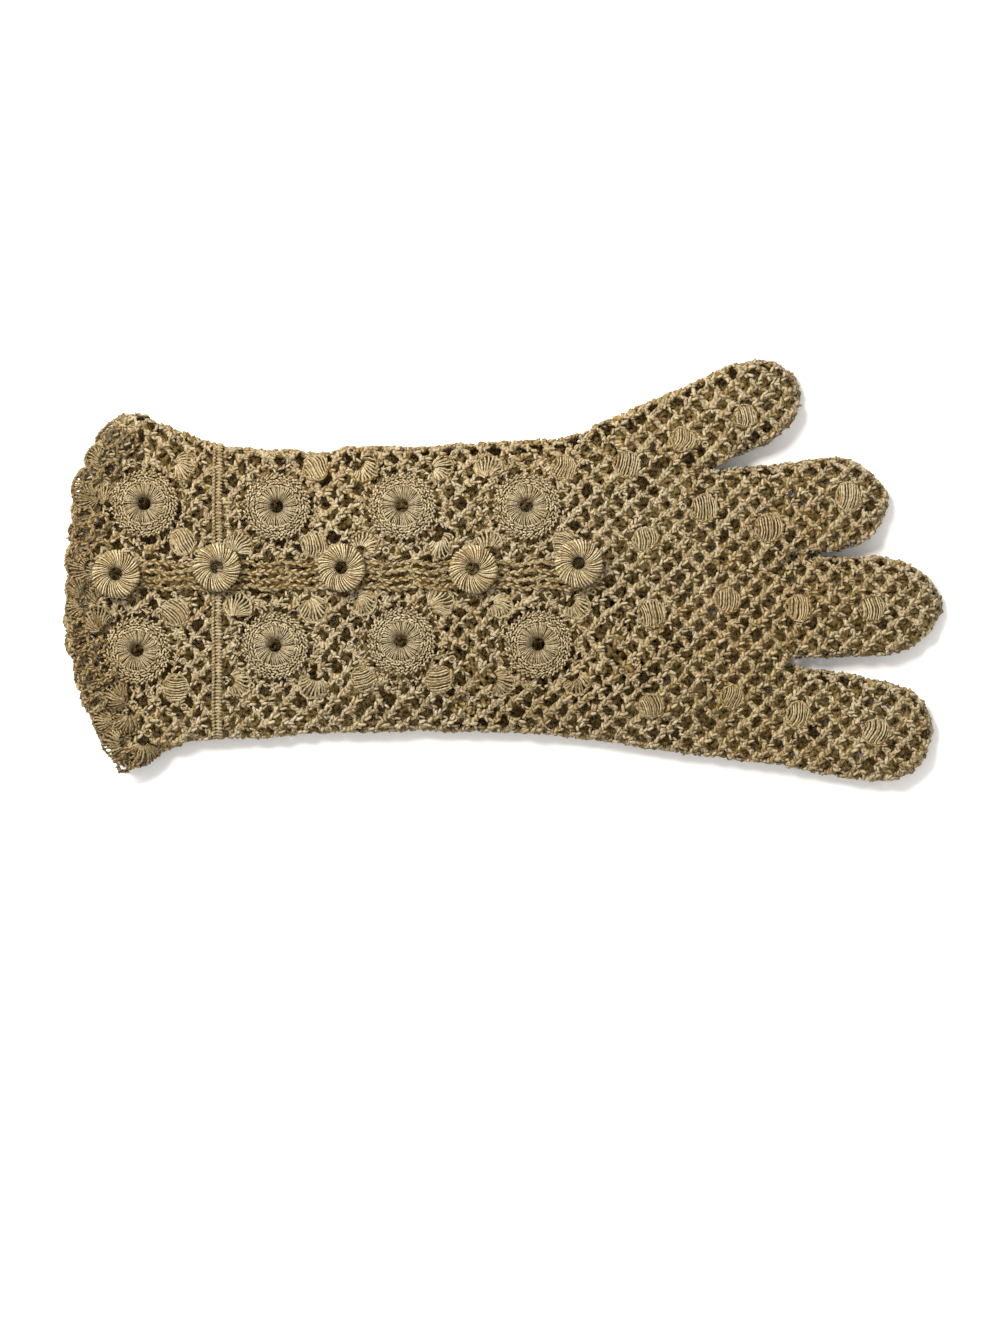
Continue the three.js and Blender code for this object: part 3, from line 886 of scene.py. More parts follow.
@dataclass(frozen=True)
class ThreadFinish:
    """How a crocheted thread looks: its colours, its sheen and its fine ply."""

    name: str
    light: tuple[float, float, float]
    # The dark end of the tone: painted shade in ply grooves, on covered thread and on cores, and the dark
    # side of each strand's random tone.
    deep: tuple[float, float, float]
    warm: tuple[float, float, float]
    slot: str
    specular: float = 0.12
    roughness: float = 0.78
    sheen: float = 0.03
    sheen_roughness: float = 0.4
    ply_pitch: float = 1.2
    ply_strength: float = 0.6
    ply_height: float = 0.0002
    patch_scale: float = 24.0
    patch_start: float = 0.43
    patch_contrast: float = 3.0
    most_warmth: float = 0.8
    speckle_scale: float = 1500.0
    fibre_scale: float = 5200.0

    def material(self) -> bpy.types.Material:
        """Makes the material.

        Returns:
            The finish as a material.
        """
        material = bpy.data.materials.new(self.name)
        material.use_nodes = True
        material.node_tree.nodes.clear()
        graph = Graph(material.node_tree)
        place = graph.add("ShaderNodeTexCoord", {}, {}, output="Object")
        ply = self._ply(graph)
        patches = self._noise(graph, place, self.patch_scale, 3.0)
        fibres = self._noise(graph, place, self.fibre_scale, 2.0)
        tone = graph.add("ShaderNodeAttribute", {"attribute_name": "thread_tone"}, {}, output="Fac")
        speckles = self._noise(graph, place, self.speckle_scale, 1.0)
        grain = (fibres - 0.5) * 0.5 + (speckles - 0.5) * 1.1
        # Painted shade: the ply stripes darken the grooves between plies, and thread_tone carries painted
        # shade for covered thread and cores along with real random tone; the fibre grain is real.
        shade = (ply * 0.7 + 0.2 + (tone - 0.5) * 0.5 + grain).limited()
        plain = self._mix(graph, shade, (*self.deep, 1), (*self.light, 1))
        aged = self._mix(graph, shade, (*self.deep, 1), (*self.warm, 1))
        warmth = ((patches - self.patch_start) * self.patch_contrast).limited() * self.most_warmth
        color = self._mix(graph, warmth, plain, aged)
        height = ply * 0.7 + fibres * 0.45
        bump_values = {"Strength": self.ply_strength, "Distance": self.ply_height, "Height": height}
        bump = graph.add("ShaderNodeBump", {}, bump_values, output="Normal")
        shader = graph.add(
            "ShaderNodeBsdfPrincipled",
            {},
            {
                "Base Color": color,
                "Roughness": (fibres - 0.5) * 0.3 + self.roughness,
                "Normal": bump,
                "Specular IOR Level": self.specular,
                "Sheen Weight": self.sheen,
                "Sheen Roughness": self.sheen_roughness,
            },
        )
        output = material.node_tree.nodes.new("ShaderNodeOutputMaterial")
        material.node_tree.links.new(shader.socket, output.inputs["Surface"])
        return material

    def _mix(self, graph: Graph, factor: Any, first: Any, second: Any) -> Signal:
        """A colour between two others."""
        return graph.add("ShaderNodeMix", {"data_type": "RGBA"}, {0: factor, 6: first, 7: second}, output=2)

    def _noise(self, graph: Graph, place: Signal, scale: float, detail: float) -> Signal:
        """Soft noise in the piece's own space."""
        return graph.add("ShaderNodeTexNoise", {}, {"Vector": place, "Scale": scale, "Detail": detail})

    def _ply(self, graph: Graph) -> Signal:
        """Fine stripes that wind round the thread; in the colour their low side is painted shade in the
        grooves between the plies.

        Args:
            graph: the material's graph.

        Returns:
            A signal from 0 to 1.
        """
        length = graph.add("ShaderNodeAttribute", {"attribute_name": "thread_length"}, {}, output="Fac")
        side = graph.add("ShaderNodeAttribute", {"attribute_name": "thread_side"}, {}, output="Vector")
        across = graph.add("ShaderNodeSeparateXYZ", {}, {0: side}, output="X")
        up = graph.add("ShaderNodeSeparateXYZ", {}, {0: side}, output="Y")
        phase = length * (TURN / self.ply_pitch)
        double_sine = across * up * 2.0
        double_cosine = across * across - up * up
        return (phase.sine() * double_cosine + phase.cosine() * double_sine) * 0.5 + 0.5


@dataclass
class Work:
    """The centre lines and stitches of one piece, in millimetres, before they become thread."""

    lines: list[tuple[Array, Array, Array]] = field(default_factory=list)
    stitches: list[tuple[Array, Array, Array, Array]] = field(default_factory=list)

    def line(self, points: Array, radius: Any, ups: Any = (0, 0, 0)) -> None:
        """Adds a centre line.

        Args:
            points: its points in space.
            radius: the thread's radius, one number or one for each point.
            ups: the outward directions on which stitches cover it, or zero for bare thread.
        """
        if len(points) > 1:
            points = np.asarray(points, float)
            radii = np.broadcast_to(radius, (len(points),)).astype(float)
            self.lines.append((points, radii, np.broadcast_to(np.asarray(ups, float), points.shape)))

    def stitch(self, points: Array, axes: Array, ups: Array, sizes: Any) -> None:
        """Adds stitches.

        Args:
            points: their middles.
            axes: their long directions.
            ups: the directions that they face.
            sizes: half length, half width and half height.
        """
        shape = np.asarray(points).shape
        rows = (points, axes, ups, sizes)
        self.stitches.append(tuple(np.broadcast_to(np.asarray(row, float), shape) for row in rows))

    def join(self, other: "Work") -> None:
        """Takes over the lines and stitches of another piece of work."""
        self.lines += other.lines
        self.stitches += other.stitches

    def mesh(self, name: str) -> bpy.types.Mesh:
        """The work as a mesh in metres, before it becomes thread.

        Args:
            name: the mesh's name.

        Returns:
            The centre lines as edges and the stitches as loose points.
        """
        places = [line for line, _, _ in self.lines] + [stitch[0] for stitch in self.stitches]
        count = sum(len(line) for line, _, _ in self.lines)
        edges, first = [], 0
        for line, _, _ in self.lines:
            edges.append(np.column_stack([np.arange(len(line) - 1), np.arange(1, len(line))]) + first)
            first += len(line)
        mesh = bpy.data.meshes.new(name)
        points = np.concatenate(places) * MILLIMETRE
        mesh.from_pydata(points.tolist(), np.concatenate(edges).tolist() if edges else [], [])
        total = len(points)
        radii, ups = np.zeros(total), np.zeros((total, 3))
        if self.lines:
            radii[:count] = np.concatenate([line[1] for line in self.lines]) * MILLIMETRE
            ups[:count] = np.concatenate([line[2] for line in self.lines])
        self._write(mesh, "thread_radius", "FLOAT", radii)
        self._write(mesh, "thread_up", "FLOAT_VECTOR", ups)
        for column, label in ((1, "stitch_axis"), (2, "stitch_up"), (3, "stitch_size")):
            values = np.zeros((total, 3))
            if self.stitches:
                values[count:] = np.concatenate([stitch[column] for stitch in self.stitches])
            if label == "stitch_size":
                values = values[:, ::-1] * MILLIMETRE
            self._write(mesh, label, "FLOAT_VECTOR", values)
        return mesh

    def _write(self, mesh: bpy.types.Mesh, name: str, kind: str, values: Array) -> None:
        """Stores an attribute on a mesh's points, one row for each."""
        data = mesh.attributes.new(name, kind, "POINT").data
        data.foreach_set("value" if kind == "FLOAT" else "vector", np.asarray(values, np.float32).ravel())


@dataclass
class Weaver:
    """Turns gathered work into finished pieces of thread."""

    tree: ThreadTree
    materials: dict[str, bpy.types.Material]

    def finish(
        self,
        name: str,
        work: Work,
        finish: ThreadFinish,
        nodes: Sequence[str],
        core: bpy.types.Mesh | None = None,
        **sizes: float,
    ) -> None:
        """Makes one finished piece.

        Args:
            name: its name.
            work: its centre lines and stitches.
            finish: how its thread looks.
            nodes: the CAD nodes that it stands for.
            core: a closed form under its thread.
            sizes: inputs of the thread tree, by name with underscores for spaces.
        """
        material = self.materials[finish.name]
        draft = bpy.data.objects.new(name + "_draft", work.mesh(name + "_lines"))
        show(draft)
        modifier = draft.modifiers.new("thread", "NODES")
        modifier.node_group = self.tree.tree
        for key, value in {"Finish": material, "Seed": len(name), **sizes}.items():
            modifier[self.tree.identifiers[key.replace("_", " ")]] = value
        graph = bpy.context.evaluated_depsgraph_get()
        mesh = bpy.data.meshes.new_from_object(draft.evaluated_get(graph))
        bpy.data.objects.remove(draft)
        mesh.name = name
        if core is not None:
            self._add_core(mesh, core)
        mesh.materials.clear()
        mesh.materials.append(material)
        mesh.polygons.foreach_set("material_index", np.zeros(len(mesh.polygons), np.int32))
        for attribute in ("thread_radius", "thread_up", "stitch_axis", "stitch_up", "stitch_size"):
            if attribute in mesh.attributes:
                mesh.attributes.remove(mesh.attributes[attribute])
        piece = bpy.data.objects.new(name, mesh)
        show(piece)
        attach(piece, "root")
        if nodes:
            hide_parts(*nodes)
        log.info("%s: %d triangles", name, sum(len(face.vertices) - 2 for face in mesh.polygons))

    def _add_core(self, mesh: bpy.types.Mesh, core: bpy.types.Mesh) -> None:
        """Joins a core to a mesh of thread, and paints the core dark as shade between its stitches.

        Args:
            mesh: the thread, which takes the core over.
            core: the closed form under it.
        """
        # Painted shade: the core takes a dark tone so that the gaps between its stitches read as shade.
        tone = core.attributes.new("thread_tone", "FLOAT", "POINT")
        tone.data.foreach_set("value", np.full(len(core.vertices), PAINTED_CORE_SHADE, np.float32))
        both = bmesh.new()
        both.from_mesh(mesh)
        both.from_mesh(core)
        both.to_mesh(mesh)
        both.free()


@dataclass
class Blocked:
    """Where ornaments lie, so that the net stops at their rims."""

    discs: list[tuple[Array, float]] = field(default_factory=list)
    strips: list[tuple[float, float, float, float]] = field(default_factory=list)

    def free(self, points: Array) -> Array:
        """Which points lie clear of every ornament.

        Args:
            points: points in plan.

        Returns:
            True for each point that is free.
        """
        clear = np.ones(len(points), bool)
        for middle, radius in self.discs:
            clear &= np.linalg.norm(points - middle, axis=1) > radius
        for west, east, low, high in self.strips:
            across = (points[:, 0] > west) & (points[:, 0] < east)
            clear &= ~(across & (points[:, 1] > low) & (points[:, 1] < high))
        return clear


@dataclass
class Strand:
    """A stretch of the net in plan, and whether it passes over the ones that it crosses."""

    line: Array
    over: bool


@dataclass
class Net:
    """A crocheted net over one surface: rows of arches that meet in knots.

    Args:
        surface: what it lies on.
        keep: true for points of the pattern that belong to the net.
        low: lowest corner of the pattern.
        high: highest corner of the pattern.
        unrest: how irregular the net is at each point, from 0 to 1.
    """

    surface: NetSurface
    keep: Callable[[Array, Layer], Array]
    low: Array
    high: Array
    unrest: Rule
    pitch_x: float = 5.2
    pitch_y: float = 5.0
    least_jitter: float = 0.45
    most_jitter: float = 0.85
    bow: float = 0.5
    dropped: float = 0.04
    samples: int = 7
    seed: int = 11

    def grid(self, layer: Layer) -> tuple[Array, Array]:
        """The knots of the pattern.

        Args:
            layer: back or palm.

        Returns:
            Their places by column and row, and a mask of the places in use.
        """
        columns = int((self.high[0] - self.low[0]) / (self.pitch_x / 2)) + 1
        rows = int((self.high[1] - self.low[1]) / (self.pitch_y / 2)) + 1
        column, row = np.meshgrid(np.arange(columns), np.arange(rows), indexing="ij")
        x = self.low[0] + column * self.pitch_x / 2
        y = self.low[1] + row * self.pitch_y / 2
        places = np.stack([x, y], axis=-1)
        random = np.random.default_rng(self.seed + layer.value)
        shake = random.uniform(-1, 1, places.shape)
        unrest = self.unrest(places.reshape(-1, 2)).reshape(places.shape[:2])[..., None]
        places = places + shake * (self.least_jitter + (self.most_jitter - self.least_jitter) * unrest)
        return places, (column + row) % 2 == 0

    def strands(self, layer: Layer) -> tuple[list[Strand], Array]:
        """All that is worked on one layer.

        Args:
            layer: back or palm.

        Returns:
            The strands, and the knots in plan.
        """
        places, used = self.grid(layer)
        random = np.random.default_rng(self.seed + 5 * layer.value + 20)
        lines, over = [], []
        columns, rows = used.shape
        for step in (1, -1):
            for i in range(columns - 1):
                for j in range(rows):
                    if used[i, j] and 0 <= j + step < rows:
                        amount = self.bow * random.uniform(0.4, 1.4)
                        bow = amount * np.array([0.5, -step])
                        lines.append(arc_points(places[i, j], places[i + 1, j + step], bow, self.samples))
                        over.append(step > 0)
        packed = np.array(lines)
        kept = self.keep(packed.reshape(-1, 2), layer).reshape(packed.shape[:2])
        strands = []
        missing = random.uniform(0, 1, len(packed)) < self.dropped * self.unrest(packed[:, self.samples // 2])
        for line, mask, above, gone in zip(packed, kept, over, missing):
            for run in [] if gone else runs_of(mask):
                first, last = max(run[0] - 1, 0), min(run[-1] + 1, len(line) - 1)
                strands.append(Strand(line[first : last + 1], above))
        knots = places[used]
        return strands, knots[self.keep(knots, layer)]


@dataclass
class NetWork:
    """Works a net's strands and knots as thread, sorted by the CAD node that each belongs to."""

    net: Net
    name_of: Callable[[Array], list[str]]
    radius: float = 0.74
    thin: float = 0.92
    over: float = 0.25
    knot_length: float = 0.72
    knot_thickness: float = 0.36
    knots: int = 3
    picots: float = 0.2
    picot_radius: float = 0.62
    picot_stitches: int = 6
    covered: bool = True
    swell: float = 0.15
    edge_ease: float = 3
    knot_margin: float = 1.5
    knot_scatter: float = 0.38
    picot_margin: float = 2
    picot_stitch: tuple[float, float, float] = (0.5, 0.27, 0.27)

    def work(self, layer: Layer) -> dict[str, Work]:
        """The thread of one layer.

        Args:
            layer: back or palm.

        Returns:
            The work for each CAD node.
        """
        strands, knots = self.net.strands(layer)
        surface = self.net.surface
        pieces: dict[str, Work] = defaultdict(Work)
        middles = np.array([strand.line[len(strand.line) // 2] for strand in strands])
        flat = np.concatenate([strand.line for strand in strands])
        lifts = np.concatenate([self._lift(strand) for strand in strands])
        lifts = lifts * np.clip(surface.arc(flat) / self.edge_ease, -0.2, 1)
        laid = surface.lay(flat, layer, lifts)
        ups = surface.normals(flat, layer) if self.covered else np.zeros((len(flat), 3))
        random = np.random.default_rng(self.net.seed + 40 + layer.value)
        first = 0
        for strand, name in zip(strands, self.name_of(middles)):
            last = first + len(strand.line)
            radius = self.radius * random.uniform(0.85, 1.2) * (1 if strand.over else self.thin)
            line = laid[first:last]
            line[:, 2] = np.maximum(line[:, 2], radius)
            pieces[name].line(line, radius, ups[first:last])
            first = last
        self._add_knots(pieces, knots, layer, random)
        if self.covered:
            chosen = random.uniform(0, 1, len(middles)) < self.picots * self.net.unrest(middles)
            self._add_picots(pieces, middles[chosen], layer, random)
        return pieces

    def _lift(self, strand: Strand) -> Array:
        """How far a strand stands out along its length."""
        swell = np.sin(np.linspace(0, 1, len(strand.line)) * math.pi)
        return (self.over if strand.over else -self.over) + self.swell * swell

    def _add_knots(self, pieces: dict[str, Work], knots: Array, layer: Layer, random: Random) -> None:
        """Sets a few stitches, turned at random, where the arches meet.

        Args:
            pieces: the work for each CAD node.
            knots: where the arches meet, in plan.
            layer: back or palm.
            random: for the turns and sizes.
        """
        surface = self.net.surface
        knots = knots[surface.arc(knots) > self.knot_margin]
        normals = surface.normals(knots, layer)
        names = self.name_of(knots)
        for _ in range(self.knots):
            turn = random.uniform(0, math.pi, len(knots))
            across = np.column_stack([np.cos(turn), np.sin(turn), random.uniform(-0.25, 0.25, len(knots))])
            shift = random.normal(0, self.knot_scatter, (len(knots), 2))
            places = surface.lay(knots + shift, layer, random.uniform(0.3, 0.85, len(knots)))
            length = self.knot_length * random.uniform(0.7, 1.3, len(knots))
            thickness = self.knot_thickness * random.uniform(0.8, 1.2, len(knots))
            places[:, 2] = np.maximum(places[:, 2], length)
            sizes = np.column_stack([length, thickness, thickness * 0.9])
            for name, place, axis, up, size in zip(names, places, across, normals, sizes):
                pieces[name].stitch(place[None], axis, up, size)

    def _add_picots(self, pieces: dict[str, Work], spots: Array, layer: Layer, random: Random) -> None:
        """Sets small rings of stitches that stand out here and there.

        Args:
            pieces: the work for each CAD node.
            spots: the rings' middles, in plan.
            layer: back or palm.
            random: for the turns and sizes.
        """
        surface = self.net.surface
        spots = spots[surface.arc(spots) > self.picot_margin]
        around = TURN * np.arange(self.picot_stitches) / self.picot_stitches
        for spot, up, name in zip(spots, surface.normals(spots, layer), self.name_of(spots)):
            reach = self.picot_radius * random.uniform(0.7, 1.35)
            angle = around + random.uniform(0, TURN)
            ring = spot + reach * headings(angle)
            places = surface.lay(ring, layer, random.uniform(0.5, 1.0) + 0.25 * np.sin(angle))
            axes = np.column_stack([-np.sin(angle), np.cos(angle), random.uniform(-0.4, 0.4, len(angle))])
            pieces[name].stitch(places, axes, up, self.picot_stitch)


@dataclass
class Seat:
    """A spot on the back on which an ornament is built, in its own polar or flat coordinates."""

    plan: GlovePlan
    surface: NetSurface
    middle: Array
    stiff: bool = False

    def __post_init__(self) -> None:
        """Finds the spot's own directions."""
        self.origin = self.surface.lay(self.middle[None], Layer.BACK, self.plan.wall / 2)[0]
        self.up = self.surface.normals(self.middle[None], Layer.BACK)[0]
        self.east = np.cross([0, 1, 0], self.up)
        self.east /= np.linalg.norm(self.east)
        self.north = np.cross(self.up, self.east)

    def at(self, flat: Array, height: Any) -> Array:
        """Points over the spot.

        Args:
            flat: points in plan, from the spot's middle.
            height: heights over the fabric.

        Returns:
            The points in space.
        """
        height = np.broadcast_to(height, (len(flat),))
        if self.stiff:
            level = self.origin + flat[:, :1] * self.east + flat[:, 1:] * self.north
            return level + height[:, None] * self.up
        return self.surface.lay(self.middle + flat, Layer.BACK, self.plan.wall / 2 + height)

    def polar(self, radius: Any, angle: Any, height: Any) -> Array:
        """Points over the spot from radius and angle."""
        radius, angle = np.broadcast_arrays(radius, angle)
        return self.at(np.column_stack([radius * np.cos(angle), radius * np.sin(angle)]), height)

    def directions(self, angle: Array) -> Array:
        """Directions in the spot's own plane."""
        return np.cos(angle)[:, None] * self.east + np.sin(angle)[:, None] * self.north

    def core(self, profile: Sequence[tuple[float, float]], steps: int) -> bpy.types.Mesh:
        """A closed form turned about the spot.

        Args:
            profile: [radius, height] round a closed section, counter-clockwise.
            steps: how many sides.

        Returns:
            Its mesh in metres.
        """
        mesh = bmesh.new()
        angles = np.arange(steps) * TURN / steps
        rings = []
        for radius, height in profile:
            points = self.polar(np.full(steps, radius), angles, np.full(steps, height)) * MILLIMETRE
            rings.append([mesh.verts.new(point) for point in points])
        for lower, upper in zip(rings, rings[1:] + rings[:1]):
            for i in range(steps):
                j = (i + 1) % steps
                mesh.faces.new((lower[i], lower[j], upper[j], upper[i])).smooth = True
        bmesh.ops.recalc_face_normals(mesh, faces=mesh.faces)
        result = bpy.data.meshes.new("core")
        mesh.to_mesh(result)
        mesh.free()
        return result


@dataclass
class Rosette:
    """A padded ring worked over in radial stitches, with rounds of loops about it.

    Each round has its radius, how its stitches lean, their half length and their height.
    """

    radius: float = 7.6
    hole: float = 1.6
    padding: float = 4.4
    height: float = 1.8
    base: float = 0.7
    legs: int = 54
    most_thickness: float = 0.25
    foot: float = 0.9
    loops: int = 46
    rounds: tuple[tuple[float, float, float, float], ...] = (
        (4.75, 1.0, 0.55, 1.45),
        (5.35, -1.1, 0.58, 1.25),
        (5.98, 1.1, 0.6, 1.1),
        (6.62, -1.15, 0.6, 0.95),
    )
    rim_inset: float = 0.35
    rim_step: float = 0.2
    rim_stitch: tuple[float, float, float] = (0.52, 0.27, 0.32)
    core_sides: int = 40

    def dome(self, radius: Array) -> Array:
        """The height of the padding at a radius."""
        share = (radius - self.hole) / (self.padding + 0.6 - self.hole)
        return self.base + (self.height - self.base) * np.sin(np.clip(share, 0, 1) * math.pi) ** 0.7

    def work(self, seat: Seat, seed: int) -> tuple[Work, bpy.types.Mesh]:
        """The rosette's thread and the padding under it.

        Args:
            seat: where it lies.
            seed: for its irregular stitches.

        Returns:
            The thread and the core.
        """
        random = np.random.default_rng(seed)
        work = Work()
        crest = np.linspace(self.hole + 0.3, self.padding + 0.3, 6)
        radii = np.concatenate([[self.hole - 0.1, self.hole], crest])
        thickness = np.minimum(0.5 * TURN * radii / self.legs, self.most_thickness)
        for i in range(self.legs):
            angle = TURN * (i + random.uniform(-0.2, 0.2)) / self.legs
            swing = (0.035 + random.uniform(-0.012, 0.012)) * (radii - self.hole)
            height = self.dome(radii) - 0.1 + random.uniform(-0.07, 0.07)
            height[0] -= self.foot
            work.line(seat.polar(radii, angle + swing, height), thickness * random.uniform(0.85, 1.1))
        self._loops(work, seat, random)
        return work, seat.core(self._section(), self.core_sides)

    def _loops(self, work: Work, seat: Seat, random: Random) -> None:
        """Adds rounds of short slanted legs, and the chain round the rim.

        Args:
            work: what they are added to.
            seat: where the rosette lies.
            random: for the irregular stitches.
        """
        for middle, lean, length, height in self.rounds:
            shake = random.uniform(-0.25, 0.25, self.loops)
            turn = TURN * (np.arange(self.loops) + shake + lean) / self.loops
            radii = middle + random.uniform(-0.1, 0.1, self.loops)
            places = seat.polar(radii, turn, height + random.uniform(-0.12, 0.12, self.loops))
            axes = seat.directions(turn + lean + random.uniform(-0.2, 0.2, self.loops))
            work.stitch(places, axes, seat.up, (length, 0.23, 0.28))
        rim = 2 * self.loops - 12
        around = TURN * np.arange(rim) / rim
        side = np.where(np.arange(rim) % 2 == 0, self.rim_step, -self.rim_step)
        radii = self.radius - self.rim_inset + side + random.uniform(-0.1, 0.1, rim)
        places = seat.polar(radii, around, 0.8 + side)
        axes = seat.directions(around + math.pi / 2 + side * 3.4)
        work.stitch(places, axes, seat.up, self.rim_stitch)

    def _section(self) -> list[tuple[float, float]]:
        """The section of the padding, a little under its stitches.

        Returns:
            [radius, height] round the section.
        """
        radii = np.linspace(self.padding + 0.3, self.hole + 0.1, 7)
        crest = [(float(radius), float(height) - 0.4) for radius, height in zip(radii, self.dome(radii))]
        low = -0.4
        return [(self.hole + 0.1, low), (self.radius - 0.6, low), (self.radius - 0.6, 0.45), *crest]


@dataclass
class RingButton:
    """A ring button worked over a core, with stitches that wind down its side."""

    radius: float = 5.4
    hole: float = 1.4
    lift: float = 1.4
    height: float = 3
    legs: int = 42
    swirl: float = 0.4
    most_thickness: float = 0.36
    rim_step: float = 0.2
    rim_stitch: tuple[float, float, float] = (0.6, 0.3, 0.3)
    cover: float = 0.35
    core_sides: int = 32

    def work(self, seat: Seat, seed: int) -> tuple[Work, bpy.types.Mesh]:
        """The button's thread and its core.

        Args:
            seat: where it lies.
            seed: for its irregular stitches.

        Returns:
            The thread and the core.
        """
        random = np.random.default_rng(seed)
        work = Work()
        middle = (self.hole + self.radius) / 2
        half = (self.radius - self.hole) / 2 - 0.1
        sweep = np.radians(np.linspace(200, -50, 13))
        radii = middle + half * np.cos(sweep)
        top = self.lift + self.height * 0.52
        heights = top + self.height * 0.4 * np.sin(sweep)
        thickness = np.minimum(0.5 * TURN * radii / self.legs * 0.82, self.most_thickness)
        for i in range(self.legs):
            angle = TURN * (i + random.uniform(-0.15, 0.15)) / self.legs
            bend = self.swirl * (radii - self.hole) / (self.radius - self.hole)
            lifted = heights + random.uniform(-0.1, 0.1)
            work.line(seat.polar(radii, angle + bend, lifted), thickness * random.uniform(0.85, 1.12))
        count = self.legs * 2 - 10
        around = TURN * np.arange(count) / count
        side = np.where(np.arange(count) % 2 == 0, self.rim_step, -self.rim_step)
        places = seat.polar(np.full(count, self.radius - 0.5), around, self.lift + 0.75 + side)
        sine, cosine = np.sin(around)[:, None], np.cos(around)[:, None]
        axes = -sine * seat.east + cosine * seat.north + side[:, None] * 2 * seat.up
        work.stitch(places, axes, seat.directions(around), self.rim_stitch)
        ring = [
            (middle + (half - self.cover) * math.cos(a), top + (self.height * 0.4 - self.cover) * math.sin(a))
            for a in np.radians(np.linspace(-60, 240, 13))
        ]
        low = self.lift * 0.5
        return work, seat.core([(self.hole + 0.3, low), (self.radius - 0.75, low), *ring], self.core_sides)


class Puff(Enum):
    """How the strands of a padded dot lie."""

    OVAL = 1
    FAN = 2
    CRESCENT = 3


@dataclass
class PaddedDot:
    """A small padded dot of strands that lie side by side or spread in a fan, with a rim of stitches."""

    radius: float = 3
    height: float = 1
    strands: int = 9
    thickness: float = 0.27
    more_strands: int = 3
    more_thickness: float = 1.1
    rim_inset: float = 0.2
    rim_radius: float = 0.38
    open_span: float = 1.9
    core_sides: int = 14

    def work(self, seat: Seat, puff: Puff, turn: float, seed: int) -> tuple[Work, bpy.types.Mesh]:
        """The dot's thread and the padding under it.

        Args:
            seat: where it lies.
            puff: how its strands lie.
            turn: the direction that it faces, in radians.
            seed: for its irregular stitches.

        Returns:
            The thread and the core.
        """
        random = np.random.default_rng(seed)
        work = Work()
        radius = self.radius * random.uniform(0.92, 1.1)
        spread = 1.0 if puff is Puff.OVAL else self.more_thickness
        strands = self.strands if puff is Puff.OVAL else self.strands + self.more_strands
        for k in range(strands):
            side = (k + 0.5 + random.uniform(-0.15, 0.15)) / strands * 2 - 1
            flat = self._oval(side, radius) if puff is Puff.OVAL else self._ray(side, radius, puff)
            line = self._placed(seat, flat, turn, radius) + seat.up * random.uniform(-0.12, 0.12)
            work.line(line, self.thickness * spread * random.uniform(0.85, 1.15))
        reach, span = (radius - self.rim_inset, math.pi) if puff is Puff.OVAL else (radius, self.open_span)
        angle = np.linspace(-span, span, 17)
        rim = reach * headings(angle)
        work.line(self._placed(seat, rim, turn, radius), self.rim_radius, seat.up)
        inner = {Puff.OVAL: radius - 0.7, Puff.FAN: radius * 0.5, Puff.CRESCENT: radius * 0.3}[puff]
        profile = [(0.02, -0.3), (inner, -0.3), (inner, 0.05), (inner * 0.6, 0.42), (0.02, 0.55)]
        return work, seat.core(profile, self.core_sides)

    def _oval(self, side: float, radius: float) -> Array:
        """One of the bowed strands that lie side by side.

        Args:
            side: where it lies, from -1 to 1.
            radius: the dot's radius.

        Returns:
            Its points from the dot's middle.
        """
        reach = math.sqrt(max(1 - (side * 0.95) ** 2, 0.08)) * radius
        along = np.linspace(-reach, reach, 8)
        bow = 0.55 * (1 - (along / radius) ** 2) - 0.25
        return np.column_stack([side * radius * 0.85 + bow, along])

    def _ray(self, side: float, radius: float, puff: Puff) -> Array:
        """One of the strands that spread from a hub at the dot's side to its rim.

        Args:
            side: where it lies, from -1 to 1.
            radius: the dot's radius.
            puff: a fan starts near the hub, and a crescent further out.

        Returns:
            Its points from the dot's middle.
        """
        hub = 0.8 * radius
        angle = side * 1.15
        rim = hub * math.cos(angle) + math.sqrt(radius**2 - (hub * math.sin(angle)) ** 2)
        start = 0.25 * radius if puff is Puff.FAN else 0.62 * radius
        reach = np.linspace(start, max(rim - 0.2, start + 0.8), 8)
        swing = angle + 0.1 * np.sin(reach / radius * math.pi)
        return np.column_stack([reach * np.cos(swing) - hub, reach * np.sin(swing)])

    def _placed(self, seat: Seat, flat: Array, turn: float, radius: float) -> Array:
        """Turns points of the dot and lays them on its rounded top.

        Args:
            seat: where the dot lies.
            flat: points from its middle.
            turn: the direction that it faces, in radians.
            radius: its radius.

        Returns:
            The points in space.
        """
        share = np.clip(np.hypot(flat[:, 0], flat[:, 1]) / radius, 0, 1)
        across = math.cos(turn) * flat[:, 0] - math.sin(turn) * flat[:, 1]
        along = math.sin(turn) * flat[:, 0] + math.cos(turn) * flat[:, 1]
        return seat.at(np.column_stack([across, along]), self.height * (1 - 0.7 * share**2) - 0.05)


TWO = ((1, 1), (1, -1))
THREE = (*TWO, (-1, -1))
FOUR = (*TWO, (-1, 1), (-1, -1))
PAD_CORNERS = (TWO, THREE, FOUR, FOUR, TWO, FOUR, FOUR, FOUR)
CAD_ROSETTE_RADIUS = 8
CAD_PAD_RADIUS = 2.9
PAD_CLEARANCE = 1.4
PAD_REACH = (CAD_ROSETTE_RADIUS + CAD_PAD_RADIUS + PAD_CLEARANCE) * math.sqrt(0.5)

KNUCKLE_DOTS = (
    Place(0.639, 0.35),
    Place(0.66, 0.104),
    Place(0.667, -0.141),
    Place(0.667, -0.443),
    Place(0.704, 0.436),
    Place(0.727, 0.207),
    Place(0.753, -0.095),
    Place(0.759, -0.416),
    Place(0.8, 0.144),
)
FINGER_DOTS = {
    "little_finger_dot": Place(0.774, 0.513),
    "ring_finger_dot": Place(0.89, 0.247),
    "middle_finger_dot": Place(0.917, -0.124),
    "index_finger_dot": Place(0.922, -0.533),
    "middle_root_dot": Place(0.834, -0.119),
    "index_root_dot": Place(0.834, -0.476),
}


